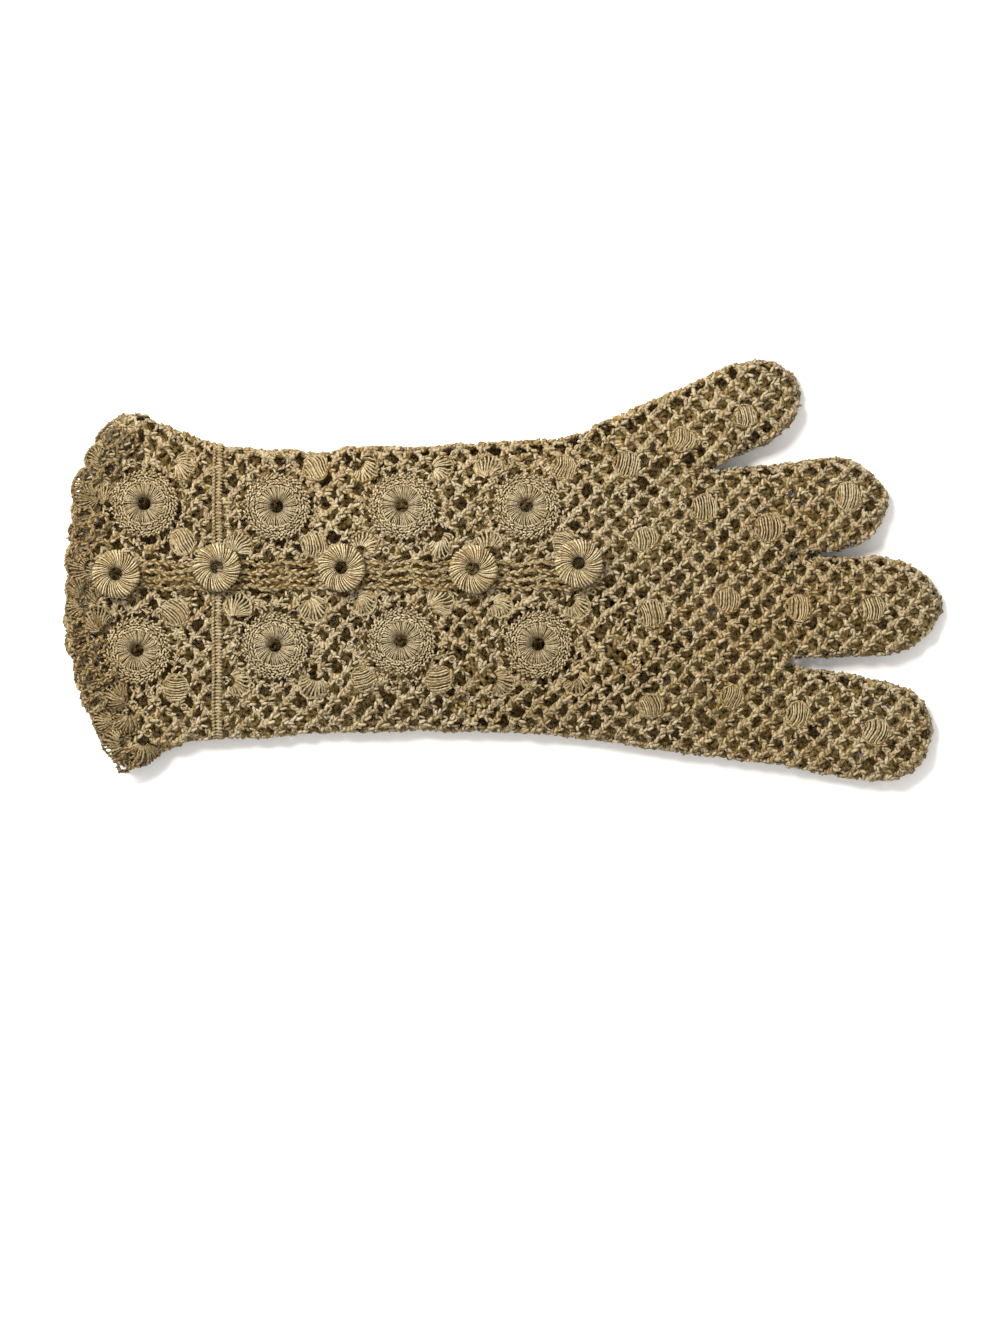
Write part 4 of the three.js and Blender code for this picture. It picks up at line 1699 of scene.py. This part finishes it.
@dataclass
class ButtonBand:
    """The rows of chain under the buttons, with short links between them."""

    plan: GlovePlan
    surface: NetSurface
    middle: float = -0.0145
    width: float = 6.4
    end: float = 0.612
    rows: int = 4
    radius: float = 0.62
    lift: float = 0.5
    wave: float = 0.4
    wave_length: float = 9.7
    link_pitch: float = 7.1
    opening: float = 2.6
    step: float = 0.6

    def _clear(self, flat: Array) -> list[Array]:
        """The runs of a line that lie clear of the buttons' holes."""
        holes = Blocked([(self.plan.spot(place), self.opening) for place in BUTTONS])
        return runs_of(holes.free(flat))

    def work(self, west: float, east: float, seed: int) -> Work:
        """The chains and links of one stretch of the band.

        Args:
            west: X where it starts.
            east: X where it ends.
            seed: for its irregular stitches.

        Returns:
            The thread.
        """
        random = np.random.default_rng(seed)
        work = Work()
        plan, surface = self.plan, self.surface
        middle = plan.y(self.middle)
        x = np.arange(west, east, self.step)
        levels = (np.arange(self.rows) - (self.rows - 1) / 2) * (self.width - 1.0) / (self.rows - 1)
        for row, level in enumerate(levels):
            phase = random.uniform(0, TURN)
            y = middle + level + self.wave * np.sin(x / self.wave_length * TURN + phase)
            y = y + 0.35 * self.wave * np.sin(x / 3.7 * TURN + 2.3 * phase)
            lift = plan.wall / 2 + self.lift + 0.2 * np.sin(x / 2.1 + phase)
            flat = np.column_stack([x, y])
            ups = surface.normals(flat, Layer.BACK)
            laid, radius = surface.lay(flat, Layer.BACK, lift), self.radius * random.uniform(0.92, 1.1)
            for run in self._clear(flat):
                work.line(laid[run], radius, ups[run])
            if row + 1 < self.rows:
                self._links(work, (x[0], x[-1]), (middle + level, middle + levels[row + 1]), random)
        return work

    def _links(
        self,
        work: Work,
        ends: tuple[float, float],
        chains: tuple[float, float],
        random: Random,
    ) -> None:
        """Adds short slanted strands between two chains.

        Args:
            work: what they are added to.
            ends: X where the chains start and end.
            chains: Y of the lower and the upper chain.
            random: for their places and slants.
        """
        low, high = chains
        for x in np.arange(ends[0] + 0.5, ends[1] - 1.2, self.link_pitch):
            lean = random.uniform(0.2, 1.1)
            shift = random.uniform(-0.4, 0.4)
            start, end = np.array([x + shift, low]), np.array([x + shift + lean, high])
            line = arc_points(start, end, np.array([0.2, 0]), 5)
            laid = self.surface.lay(line, Layer.BACK, self.plan.wall / 2 + self.lift - 0.25)
            work.line(laid, self.radius * 0.85, self.surface.normals(line, Layer.BACK))


@dataclass
class WristCord:
    """A ribbed cord round the wrist, with a narrow column of stitches beside it.

    Each column has its offset, its radius, how far its stitches reach, how they lean and how thick they are.
    """

    plan: GlovePlan
    surface: NetSurface
    columns: tuple[tuple[float, float, float, float, float], ...] = (
        (-0.95, 0.42, 0.5, 0.7, 0.3),
        (0.3, 0.62, 0.95, -0.12, 0.32),
    )
    rise: float = 0.8
    pitch: float = 0.76
    meander: float = 0.22
    samples: int = 160

    def ring(self, x: float, lift: float) -> Array:
        """Evenly spaced points round the wrist.

        Args:
            x: where along the glove.
            lift: how far out the back's half lies.

        Returns:
            The points in space.
        """
        plan, surface = self.plan, self.surface
        along = np.array([(x - plan.shift[0]) / plan.length + 0.5])
        reach = surface.bend * math.pi / 2 - surface.side
        low = plan.y(table(SLEEVE, "low", along))[0] - reach
        high = plan.y(table(SLEEVE, "high", along))[0] + reach
        y = np.linspace(low, high, self.samples)
        flat = np.column_stack([x + self.meander * np.sin(y / 5.3 + 1.0) * np.cos(y / 13.0), y])
        arc = np.clip(surface.arc(flat) / surface.bend, 0, 1)
        back = surface.lay(flat, Layer.BACK, lift * np.minimum(arc + 0.5, 1))
        palm = surface.lay(flat[::-1], Layer.PALM, 0.0)
        return even_points(np.concatenate([back, palm, back[:1]]), self.pitch)

    def work(self) -> Work:
        """The cord's thread.

        Returns:
            The thread.
        """
        work = Work()
        middle = self.plan.x(self.plan.wrist_along)
        lift = self.plan.wall / 2 + self.rise * 0.3
        for offset, radius, reach, lean, thickness in self.columns:
            ring = self.ring(middle + offset, lift)
            work.line(ring, radius)
            along = np.roll(ring, -1, axis=0) - np.roll(ring, 1, axis=0)
            along /= np.linalg.norm(along, axis=1, keepdims=True)
            outward = np.cross(along, [1.0, 0, 0])
            outward *= np.sign((outward * (ring - ring.mean(0))).sum(1))[:, None]
            axes = np.array([1.0, 0, 0]) + along * lean
            raised = np.where(outward[:, 2:] > -0.3, radius * 0.6, 0.0)
            work.stitch(ring + outward * raised, axes, outward, (reach, thickness, thickness))
        return work


@dataclass
class CuffEdging:
    """Shells of fanned stitches round the cuff's mouth, with loose, overlapping fans on the back."""

    plan: GlovePlan
    surface: NetSurface
    width: float = 7
    depth: float = 2.0
    shells: int = 27
    stitches: int = 9
    ruffle: float = 0.5
    radius: float = 0.5
    bare: float = 1.2
    fan_pitch: float = 4.3
    fan_radius: float = 3.1
    bulge: float = 2.0
    bulge_middle: float = 25.0
    bulge_spread: float = 9.0
    mouth_along: float = 0.05
    samples: int = 240
    path_pitch: float = 0.4
    loops: float = 0.4
    rim_pitch: float = 0.8
    fan_rows: tuple[float, float] = (0.0, 4.2)
    fan_margin: float = 2.2

    def path(self) -> tuple[Array, Array]:
        """Even points round the mouth's section, and the directions outwards there.

        Returns:
            The points and the directions.
        """
        plan, surface = self.plan, self.surface
        x = plan.x(self.mouth_along)
        reach = surface.bend * math.pi / 2 - surface.side
        y = np.linspace(plan.y(MOUTH.low) - reach, plan.y(MOUTH.high) + reach, self.samples)
        flat = np.column_stack([np.full(self.samples, x), y])
        loop = np.concatenate([surface.lay(flat, Layer.BACK), surface.lay(flat[::-1], Layer.PALM)])
        points = even_points(np.concatenate([loop, loop[:1]]), self.path_pitch)
        along = np.roll(points, -2, axis=0) - np.roll(points, 2, axis=0)
        outward = np.cross(along, [1.0, 0, 0])
        outward /= np.linalg.norm(outward, axis=1, keepdims=True)
        return points, outward

    def work(self, seed: int) -> Work:
        """The shells' thread.

        Args:
            seed: for its irregular stitches.

        Returns:
            The thread.
        """
        random = np.random.default_rng(seed)
        work = Work()
        points, outward = self.path()
        edges = np.cumsum(random.uniform(0.65, 1.35, self.shells))
        edges = edges / edges[-1] * len(points)
        for start, end in zip(np.concatenate([[0], edges[:-1]]), edges):
            reach = (self.width - 0.6) * random.uniform(0.86, 1.04)
            self._shell(work, points, outward, (start, end), reach, random)
        return work

    def fans(self, seed: int) -> Work:
        """The loose fans and open loops that overlap on the back of the edging.

        Args:
            seed: for their places and turns.

        Returns:
            The thread.
        """
        random = np.random.default_rng(seed)
        work = Work()
        plan = self.plan
        low, high = plan.y(MOUTH.low) + self.fan_margin, plan.y(MOUTH.high) - self.fan_margin
        for row, inward in enumerate(self.fan_rows):
            for y in np.arange(low + 1.7 * row, high, self.fan_pitch * (1 + 0.35 * row)):
                radius = self.fan_radius * random.uniform(0.85, 1.15)
                y = y + random.uniform(-0.9, 0.9)
                seams = plan.seam_x(np.array([y - 0.5, y, y + 0.5]))
                x = seams[1] - self.width + 1.15 * radius + inward + random.uniform(0, 0.8) - self._further(y)
                turn = math.atan2(seams[2] - seams[0], -1) + random.uniform(-0.7, 0.7) * (1 + row)
                puff = Puff.FAN if random.random() < 0.55 else Puff.CRESCENT
                dot = PaddedDot(radius=radius, height=random.uniform(0.7, 2.2), strands=9, thickness=0.32)
                seat = Seat(plan, self.surface, np.array([x, np.clip(y, low - 0.6, high + 0.6)]))
                if random.random() < self.loops:
                    self._loop(work, seat, radius, turn)
                else:
                    work.join(dot.work(seat, puff, turn, int(random.integers(9999)))[0])
        return work

    def _further(self, y: Array) -> Array:
        """How much further out the edging lies near the mouth's far corner."""
        return self.bulge * np.exp(-(((y - self.bulge_middle) / self.bulge_spread) ** 2))

    def _loop(self, work: Work, seat: Seat, radius: float, turn: float) -> None:
        """Adds one open loop of stitches round a small hole.

        Args:
            work: what it is added to.
            seat: where it lies.
            radius: the radius of a fan in its place.
            turn: the direction that it faces, in radians.
        """
        angle = np.linspace(0, TURN, 17) + turn
        swell = radius * (0.66 + 0.12 * np.sin(angle * 2))
        flat = headings(angle) * swell[:, None]
        work.line(seat.at(flat, 1.3 + 0.5 * np.sin(angle + turn * 3)), self.radius * 1.15, seat.up)

    def _shell(
        self,
        work: Work,
        points: Array,
        outward: Array,
        span: tuple[float, float],
        whole: float,
        random: Random,
    ) -> None:
        """Adds one fan of stitches and the loops round its rim.

        Args:
            work: what it is added to.
            points: the mouth's section.
            outward: the directions outwards there.
            span: where along the section it starts and ends.
            whole: how long its middle stitch is.
            random: for its irregular stitches.
        """
        room = span[1] - span[0]
        middle = (span[0] + span[1]) / 2
        lean = random.uniform(-0.3, 0.3)
        wave = self.ruffle * random.uniform(-0.8, 1.3)
        reach = np.linspace(0, 1, 7)
        tips, tip_ups = [], []
        for side in np.linspace(-1, 1, self.stitches):
            spread = 0.18 + 0.36 * reach**0.8
            place, out = self._along(points, outward, middle + (side * spread + lean * reach * 0.3) * room)
            round_end = math.cos(side * math.pi / 2 * 0.85)
            length = whole - self.depth * (1 - round_end)
            lying = np.where(out[:, 2] < -0.2, 0.1, 1.0)
            offset = (wave * reach**2 * round_end + 0.3 * np.sin(reach * math.pi)) * lying
            seam = self.plan.seam_x(place[:, 1])
            place[:, 0] = seam - 0.2 - reach * (length + self._further(place[:, 1]))
            line = place + out * offset[:, None]
            bare = np.where(out[:, 2:] < -0.2, 0.0, 1.0)
            work.line(line, self.radius * random.uniform(0.8, 1.1), out * bare)
            tips.append(line[-1])
            tip_ups.append(out[-1] * bare[-1])
        rim = even_points(np.array(tips), self.rim_pitch) + [-0.15, 0, 0]
        ups = even_points(np.array(tip_ups), self.rim_pitch)
        work.line(rim, self.radius * 1.2, ups[np.linspace(0, len(ups) - 1, len(rim)).astype(int)])

    def _along(self, points: Array, outward: Array, index: Array) -> tuple[Array, Array]:
        """Places and directions on the way round the mouth.

        Args:
            points: the mouth's section.
            outward: the directions outwards there.
            index: where, as numbers of points that need not be whole.

        Returns:
            The places and the directions.
        """
        count = len(points)
        low = np.floor(index).astype(int)
        share = (index - low)[:, None]
        first, second = low % count, (low + 1) % count
        place = points[first] * (1 - share) + points[second] * share
        out = outward[first] * (1 - share) + outward[second] * share
        return place, out


@dataclass(frozen=True)
class Lamp:
    """A round area light that faces the glove."""

    name: str
    place: tuple[float, float, float]
    size: float
    power: float


KEY_LIGHT = Lamp("key_light", (-0.36, 0.38, 0.64), 0.36, 13.5)
FILL_LIGHT = Lamp("fill_light", (0.5, -0.45, 0.7), 0.8, 1.7)


@dataclass
class Studio:
    """A pale floor, soft light from the upper left and a camera straight above."""

    photo_height: float = 305.3
    aim: tuple[float, float, float] = (-0.94, -22.1, 6.0)
    lens: float = 120.0
    sensor: float = 36.0
    reach: float = 20.0
    sky: tuple[float, float, float, float] = (1.0, 0.99, 0.97, 1)
    sky_strength: float = 0.85
    lamp_color: tuple[float, float, float] = (1.0, 0.965, 0.9)
    floor_half: float = 2.5
    floor_color: tuple[float, float, float, float] = (0.86, 0.86, 0.86, 1)
    floor_roughness: float = 0.8

    def build(self) -> None:
        """Makes the floor, the lights and the camera."""
        self._floor()
        for lamp in (KEY_LIGHT, FILL_LIGHT):
            self._light(lamp)
        world = bpy.data.worlds.new("studio")
        bpy.context.scene.world = world
        world.use_nodes = True
        background = world.node_tree.nodes["Background"]
        background.inputs["Color"].default_value = self.sky
        background.inputs["Strength"].default_value = self.sky_strength
        distance = self.photo_height * self.lens / self.sensor
        data = bpy.data.cameras.new("camera")
        data.lens = self.lens
        data.sensor_width = self.sensor
        data.clip_end = self.reach
        camera = bpy.data.objects.new("camera", data)
        show(camera)
        camera.location = Vector((self.aim[0], self.aim[1], self.aim[2] + distance)) * MILLIMETRE
        bpy.context.scene.camera = camera
        bpy.context.scene.view_settings.view_transform = "Standard"

    def _floor(self) -> None:
        """The floor, which isn't part of the glove."""
        mesh = bmesh.new()
        bmesh.ops.create_grid(mesh, x_segments=1, y_segments=1, size=self.floor_half)
        data = bpy.data.meshes.new("floor")
        mesh.to_mesh(data)
        mesh.free()
        floor = bpy.data.objects.new("floor", data)
        show(floor)
        material = bpy.data.materials.new("pale_floor")
        material.use_nodes = True
        shader = material.node_tree.nodes["Principled BSDF"]
        shader.inputs["Base Color"].default_value = self.floor_color
        shader.inputs["Roughness"].default_value = self.floor_roughness
        data.materials.append(material)

    def _light(self, lamp: Lamp) -> None:
        """Makes one light.

        Args:
            lamp: its place, size and power.
        """
        data = bpy.data.lights.new(lamp.name, "AREA")
        data.shape = "DISK"
        data.size = lamp.size
        data.energy = lamp.power
        data.color = self.lamp_color
        light = bpy.data.objects.new(lamp.name, data)
        show(light)
        light.location = lamp.place
        light.rotation_mode = "QUATERNION"
        light.rotation_quaternion = (-Vector(lamp.place)).to_track_quat("-Z", "Y")


NET_THREAD = ThreadFinish(
    "net_thread", (0.405, 0.344, 0.23), (0.098, 0.057, 0.011), (0.375, 0.29, 0.165), "net"
)
# Same thread as the net, painted darker and more saturated: painted shade for the palm and thumb, which lie
# in shade under the back.
SHADED_PALM_THREAD = ThreadFinish(
    "palm_thread", (0.29, 0.21, 0.085), (0.085, 0.046, 0.006), (0.28, 0.19, 0.068), "net"
)
PADDED_THREAD = ThreadFinish(
    "padded_thread", (0.44, 0.37, 0.243), (0.075, 0.042, 0.006), (0.42, 0.325, 0.18), "padded"
)
# Lighter than the padded thread: painted highlight for the raised tops of the buttons.
LIT_BUTTON_THREAD = ThreadFinish(
    "button_thread", (0.57, 0.478, 0.305), (0.12, 0.072, 0.015), (0.54, 0.42, 0.23), "padded"
)
DOT_THREAD = ThreadFinish(
    "dot_thread", (0.4, 0.335, 0.215), (0.09, 0.052, 0.008), (0.37, 0.275, 0.145), "padded"
)
CORD_THREAD = ThreadFinish(
    "cord_thread", (0.34, 0.278, 0.172), (0.085, 0.048, 0.007), (0.32, 0.235, 0.115), "cord"
)
# Darker than the net thread: painted shade for the shadowed puckers and holes of the edging.
SHADED_EDGING_THREAD = ThreadFinish(
    "edging_thread_painted_shade", (0.285, 0.228, 0.132), (0.065, 0.034, 0.004), (0.26, 0.185, 0.085), "edging"
)
FINISHES = (NET_THREAD, SHADED_PALM_THREAD, PADDED_THREAD, LIT_BUTTON_THREAD, DOT_THREAD, CORD_THREAD, SHADED_EDGING_THREAD)


BACK_SIZES = {"Ring_Spacing": 0.0014, "Ply_Depth": 0.1, "Stitch_Pitch": 0.00096}
PALM_SIZES = {"Ring_Spacing": 0.0017, "Lay_Length": 0.0068}
THUMB_SIZES = {"Ring_Spacing": 0.0014, "Lay_Length": 0.0056}
ORNAMENT_SIZES = {"Wander": 0.00005, "Ply_Depth": 0.15}
DOT_SIZES = {"Wander": 0.00036, "Ring_Spacing": 0.00042, "Ply_Depth": 0.2}
BAND_SIZES = {"Wander": 0.00015, "Stitch_Lean": 0.35}
CORD_SIZES = {"Wander": 0.00005}
EDGING_SIZES = {"Wander": 0.0002, "Ring_Spacing": 0.0007}

UNREST = ((0.12, 1), (0.25, 0.75), (0.6, 0.7), (0.75, 0))


class Seed(Enum):
    """Where the random numbers of each kind of piece start."""

    BARS = 77
    ROSETTES = 100
    BUTTONS = 200
    DOTS = 300
    CUFF_BAND = 401
    HAND_BAND = 402
    SHELLS = 403
    FANS = 404


@dataclass
class CrochetGlove:
    """The whole glove, piece by piece."""

    plan: GlovePlan = field(default_factory=GlovePlan)
    rosette: Rosette = field(default_factory=Rosette)
    button: RingButton = field(default_factory=RingButton)
    dot: PaddedDot = field(default_factory=PaddedDot)
    bars: int = 15
    bar_reach: float = 1.7
    edge_inset: float = 0.85
    edge_radius: float = 0.6
    edge_pitch: float = 0.9
    edge_up: tuple[float, float] = (0.2, 0.98)
    edge_room: float = 0.35
    fringe: float = 0.3
    finger_reach: float = 0.62
    palm_pitch: tuple[float, float] = (2.6, 2.5)
    palm_radius: float = 0.98
    palm_jitter: float = 0.35
    thumb_pitch: tuple[float, float] = (3.4, 3.3)
    thumb_radius: float = 0.8
    thumb_overlap: float = 8
    thumb_root_half: float = 0.47

    def __post_init__(self) -> None:
        """Prepares the surfaces, the blocked places and the tools."""
        plan = self.plan
        self.surface = NetSurface(
            plan.inset, plan.finger_height / 2, plan.wall, plan.crown, plan.thumb_cover, plan.tallness
        )
        self.band = ButtonBand(plan, self.surface)
        self.cord = WristCord(plan, self.surface)
        self.edging = CuffEdging(plan, self.surface)
        self.dots = self._dot_places()
        self.blocked = Blocked()
        for place in ROSETTES:
            self.blocked.discs.append((plan.spot(place), self.rosette.radius + self.bar_reach))
        for place in BUTTONS:
            self.blocked.discs.append((plan.spot(place), self.button.radius - 0.6))
        for _, middle in self.dots:
            self.blocked.discs.append((middle, self.dot.radius - 0.3))
        middle, half = plan.y(self.band.middle), self.band.width / 2 + 0.2
        self.blocked.strips.append((plan.x(-0.1), plan.x(self.band.end), middle - half, middle + half))
        wrist = plan.x(plan.wrist_along)
        self.wrist_strip = (wrist - plan.cord_width / 2, wrist + plan.cord_width / 2)
        self.weaver = Weaver(ThreadTree(), {finish.name: finish.material() for finish in FINISHES})

    def _dot_places(self) -> list[tuple[str, Array]]:
        """The padded dots, in the order of the CAD nodes.

        Returns:
            Their names and places.
        """
        plan = self.plan
        places = [
            plan.spot(place) + np.array(corner) * PAD_REACH
            for place, corners in zip(ROSETTES, PAD_CORNERS)
            for corner in corners
        ]
        places += [plan.spot(place) for place in KNUCKLE_DOTS]
        named = [(f"pad_{i + 1}", place) for i, place in enumerate(places)]
        return named + [(name, plan.spot(place)) for name, place in FINGER_DOTS.items()]

    def keep(self, points: Array, layer: Layer) -> Array:
        """Which points of the net's pattern lie on the fabric and clear of what is sewn on it.

        Args:
            points: points in plan.
            layer: back or palm.

        Returns:
            True for each point that is kept.
        """
        mouth = self.plan.seam_x(points[:, 1])
        if layer is Layer.BACK:
            mouth = mouth - self.edging.width + self.edging.bare
        least = self.fringe if layer is Layer.BACK else -self.fringe
        on = (self.surface.arc(points) > least) & (points[:, 0] > mouth)
        on &= ~self.plan.between_fingers(points)
        if layer is Layer.BACK:
            west, east = self.wrist_strip
            on &= (points[:, 0] < west) | (points[:, 0] > east)
            on &= self.blocked.free(points)
        return on

    def unrest(self, points: Array) -> Array:
        """How irregular the net is: calm on the fingers, more so on the hand, most on the cuff."""
        shares, amounts = zip(*UNREST)
        return np.interp(points[:, 0], [self.plan.x(share) for share in shares], amounts)

    def node_of(self, points: Array) -> list[str]:
        """The CAD nodes that points of the net belong to.

        Args:
            points: points in plan.

        Returns:
            A node's name for each point.
        """
        plan = self.plan
        names = np.where(points[:, 0] < plan.x(plan.wrist_along), "cuff", "hand").astype(object)
        for row in FINGERS:
            along, side, width = plan.beside(row, points)
            names[(along > row.root) & (side < width * self.finger_reach)] = row.finger.value
        return list(names)

    def build_nets(self) -> None:
        """The net of cuff, hand and fingers, with its edge and the bars round the rosettes."""
        low = np.min([outline.min(0) for outline in self.plan.outlines], axis=0) - 4
        high = np.max([outline.max(0) for outline in self.plan.outlines], axis=0) + 4
        back = NetWork(Net(self.surface, self.keep, low, high, self.unrest), self.node_of)
        plain = replace(back.net, most_jitter=self.palm_jitter, dropped=0)
        plain.pitch_x, plain.pitch_y = self.palm_pitch
        palm = NetWork(plain, self.node_of, self.palm_radius, knots=0, covered=False)
        works = back.work(Layer.BACK)
        self._add_edges(works)
        self._add_bars(works)
        for name, work in works.items():
            strands, knots = Work(lines=work.lines), Work(stitches=work.stitches)
            self.weaver.finish(f"{name}_back", strands, NET_THREAD, [name], **BACK_SIZES)
            self.weaver.finish(f"{name}_knots", knots, NET_THREAD, [name])
        for name, work in palm.work(Layer.PALM).items():
            self.weaver.finish(f"{name}_palm", work, SHADED_PALM_THREAD, [name], **PALM_SIZES)

    def _add_edges(self, works: dict[str, Work]) -> None:
        """Adds a thick strand along the outermost line of the fabric.

        Args:
            works: the work for each CAD node.
        """
        plan = self.plan
        for outline in plan.outlines:
            closed = even_points(np.concatenate([outline, outline[:1]]), self.edge_pitch)
            inward = self._own_surface(outline).gradient(closed)
            inner = closed + inward * self.edge_inset
            outward, upward = self.edge_up
            ups = np.column_stack([-inward * outward, np.full(len(inner), upward)])
            shown = plan.inset(inner) < self.edge_inset + self.edge_room
            shown &= inner[:, 0] > plan.seam_x(inner[:, 1])
            z = plan.finger_height / 2 * plan.tallness(inner)
            for run in runs_of(shown):
                stretch = np.column_stack([inner[run], z[run]])
                names = self.node_of(inner[run])
                for name in dict.fromkeys(names):
                    for piece in runs_of(np.array(names) == name):
                        works[name].line(stretch[piece], self.edge_radius, ups[run][piece])

    def _own_surface(self, outline: Array) -> NetSurface:
        """The surface over one outline alone."""
        return replace(self.surface, inset=lambda points: inset_in(outline, points))

    def _add_bars(self, works: dict[str, Work]) -> None:
        """Adds short bars and a ring that tie each rosette to the net.

        Args:
            works: the work for each CAD node.
        """
        plan = self.plan
        inner, outer = self.rosette.radius - 0.6, self.rosette.radius + self.bar_reach + 0.9
        random = np.random.default_rng(Seed.BARS.value)
        for place in ROSETTES:
            middle = plan.spot(place)
            discs = [disc for disc in self.blocked.discs if np.linalg.norm(disc[0] - middle) > 1]
            others = Blocked(discs, self.blocked.strips)
            for i in range(self.bars):
                angle = TURN * (i + random.uniform(-0.25, 0.25)) / self.bars
                lean = random.uniform(-0.1, 0.1)
                reach = np.linspace(inner, outer, 5)
                turn = angle + lean * (reach - inner) / (outer - inner)
                line = middle + reach[:, None] * headings(turn)
                self._add_free(works, line, others, 0.5 * random.uniform(0.85, 1.2))
            angles = np.linspace(0, TURN, 61)
            swell = 0.35 * np.sin(angles * 7 + random.uniform(0, TURN)) + 0.25 * np.sin(angles * 4)
            ring = middle + (outer - 0.9 + swell)[:, None] * headings(angles)
            self._add_free(works, ring, others, 0.55)

    def _add_free(self, works: dict[str, Work], line: Array, blocked: Blocked, radius: float) -> None:
        """Adds the stretches of a line on the back that lie clear of ornaments.

        Args:
            works: the work for each CAD node.
            line: points in plan.
            blocked: where ornaments lie.
            radius: the strand's radius.
        """
        west, east = self.wrist_strip
        free = blocked.free(line) & (self.surface.arc(line) > 0.5)
        free &= line[:, 0] > self.plan.seam_x(line[:, 1])
        free &= (line[:, 0] < west) | (line[:, 0] > east)
        for run in runs_of(free):
            if len(run) > 1:
                laid = self.surface.lay(line[run], Layer.BACK, 0.2)
                ups = self.surface.normals(line[run], Layer.BACK)
                works[self.node_of(line[run][:1])[0]].line(laid, radius, ups)

    def build_ornaments(self) -> None:
        """Rosettes, buttons and padded dots."""
        plan = self.plan
        for i, place in enumerate(ROSETTES):
            seat = Seat(plan, self.surface, plan.spot(place))
            work, core = self.rosette.work(seat, Seed.ROSETTES.value + i)
            node = f"rosette_{i + 1}"
            self.weaver.finish(f"{node}_worked", work, PADDED_THREAD, [node], core, **ORNAMENT_SIZES)
        for i, place in enumerate(BUTTONS):
            seat = Seat(plan, self.surface, plan.spot(place), stiff=True)
            work, core = self.button.work(seat, Seed.BUTTONS.value + i)
            node = f"button_{i + 1}"
            self.weaver.finish(f"{node}_worked", work, LIT_BUTTON_THREAD, [node], core, **ORNAMENT_SIZES)
        random = np.random.default_rng(Seed.DOTS.value)
        for i, (name, middle) in enumerate(self.dots):
            on_finger = i >= len(self.dots) - len(FINGER_DOTS) - len(KNUCKLE_DOTS)
            puff = Puff.OVAL if on_finger else (Puff.FAN, Puff.CRESCENT, Puff.OVAL)[int(random.integers(3))]
            turn = random.uniform(-0.4, 0.4) + (0 if on_finger else random.uniform(-1.5, 1.5))
            seat = Seat(plan, self.surface, middle)
            work, core = self.dot.work(seat, puff, turn, Seed.DOTS.value + 1 + i)
            nodes = [name] if name.startswith("pad_") else []
            self.weaver.finish(f"{name}_worked", work, DOT_THREAD, nodes, core, **DOT_SIZES)

    def build_trim(self) -> None:
        """The bands under the buttons, the wrist cord and the cuff's edging."""
        plan = self.plan
        west, east = self.wrist_strip
        seam = float(plan.seam_x(np.array([plan.y(self.band.middle)]))[0])
        cuff_band = self.band.work(seam, west, Seed.CUFF_BAND.value)
        hand_band = self.band.work(east, plan.x(self.band.end), Seed.HAND_BAND.value)
        self.weaver.finish("cuff_band_chains", cuff_band, CORD_THREAD, ["cuff_band"], **BAND_SIZES)
        self.weaver.finish("hand_band_chains", hand_band, CORD_THREAD, ["hand_band"], **BAND_SIZES)
        self.weaver.finish("wrist_cord_ribs", self.cord.work(), CORD_THREAD, ["wrist_cord"], **CORD_SIZES)
        shells = self.edging.work(Seed.SHELLS.value)
        shells.join(self.edging.fans(Seed.FANS.value))
        self.weaver.finish("edging_shells", shells, SHADED_EDGING_THREAD, ["cuff_edging"], **EDGING_SIZES)

    def build_thumb(self) -> None:
        """The thumb, folded flat under the palm."""
        plan = self.plan
        start, tip, width = plan.thumb_axis()
        axis = (tip - start) / np.linalg.norm(tip - start)
        outline = plan.tube_outline(start - axis * self.thumb_overlap, tip, width, BLUNT)
        surface = NetSurface(
            lambda points: inset_in(outline, points),
            plan.thumb_height / 2,
            plan.wall,
            zero_at,
            zero_at,
            lambda points: table(BLUNT, "tall", (points - start) @ axis / plan.thumb_length),
        )

        def keep(points: Array, layer: Layer) -> Array:
            """True on the thumb, from its root on."""
            return (surface.arc(points) > 0) & ((points - start) @ axis > 0)

        low, high = outline.min(0) - 3, outline.max(0) + 3
        net = Net(surface, keep, low, high, zero_at, *self.thumb_pitch, dropped=0)
        radius = self.thumb_radius
        thumb = NetWork(net, lambda points: ["thumb"] * len(points), radius, knots=0, covered=False)
        across = np.linspace(-self.thumb_root_half, self.thumb_root_half, 24) * width
        root = start + axis * 0.4 + np.outer(across, [-axis[1], axis[0]])
        whole = Work()
        for layer in Layer:
            for work in thumb.work(layer).values():
                whole.join(work)
            whole.line(surface.lay(root, layer), radius)
        self.weaver.finish("thumb_net", whole, SHADED_PALM_THREAD, ["thumb"], **THUMB_SIZES)


def main() -> None:
    """Builds the glove and the studio."""
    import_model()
    Studio().build()
    glove = CrochetGlove()
    glove.build_nets()
    glove.build_trim()
    glove.build_ornaments()
    glove.build_thumb()


if __name__ == "__main__":
    logging.basicConfig(level=logging.INFO, format="%(message)s")
    main()
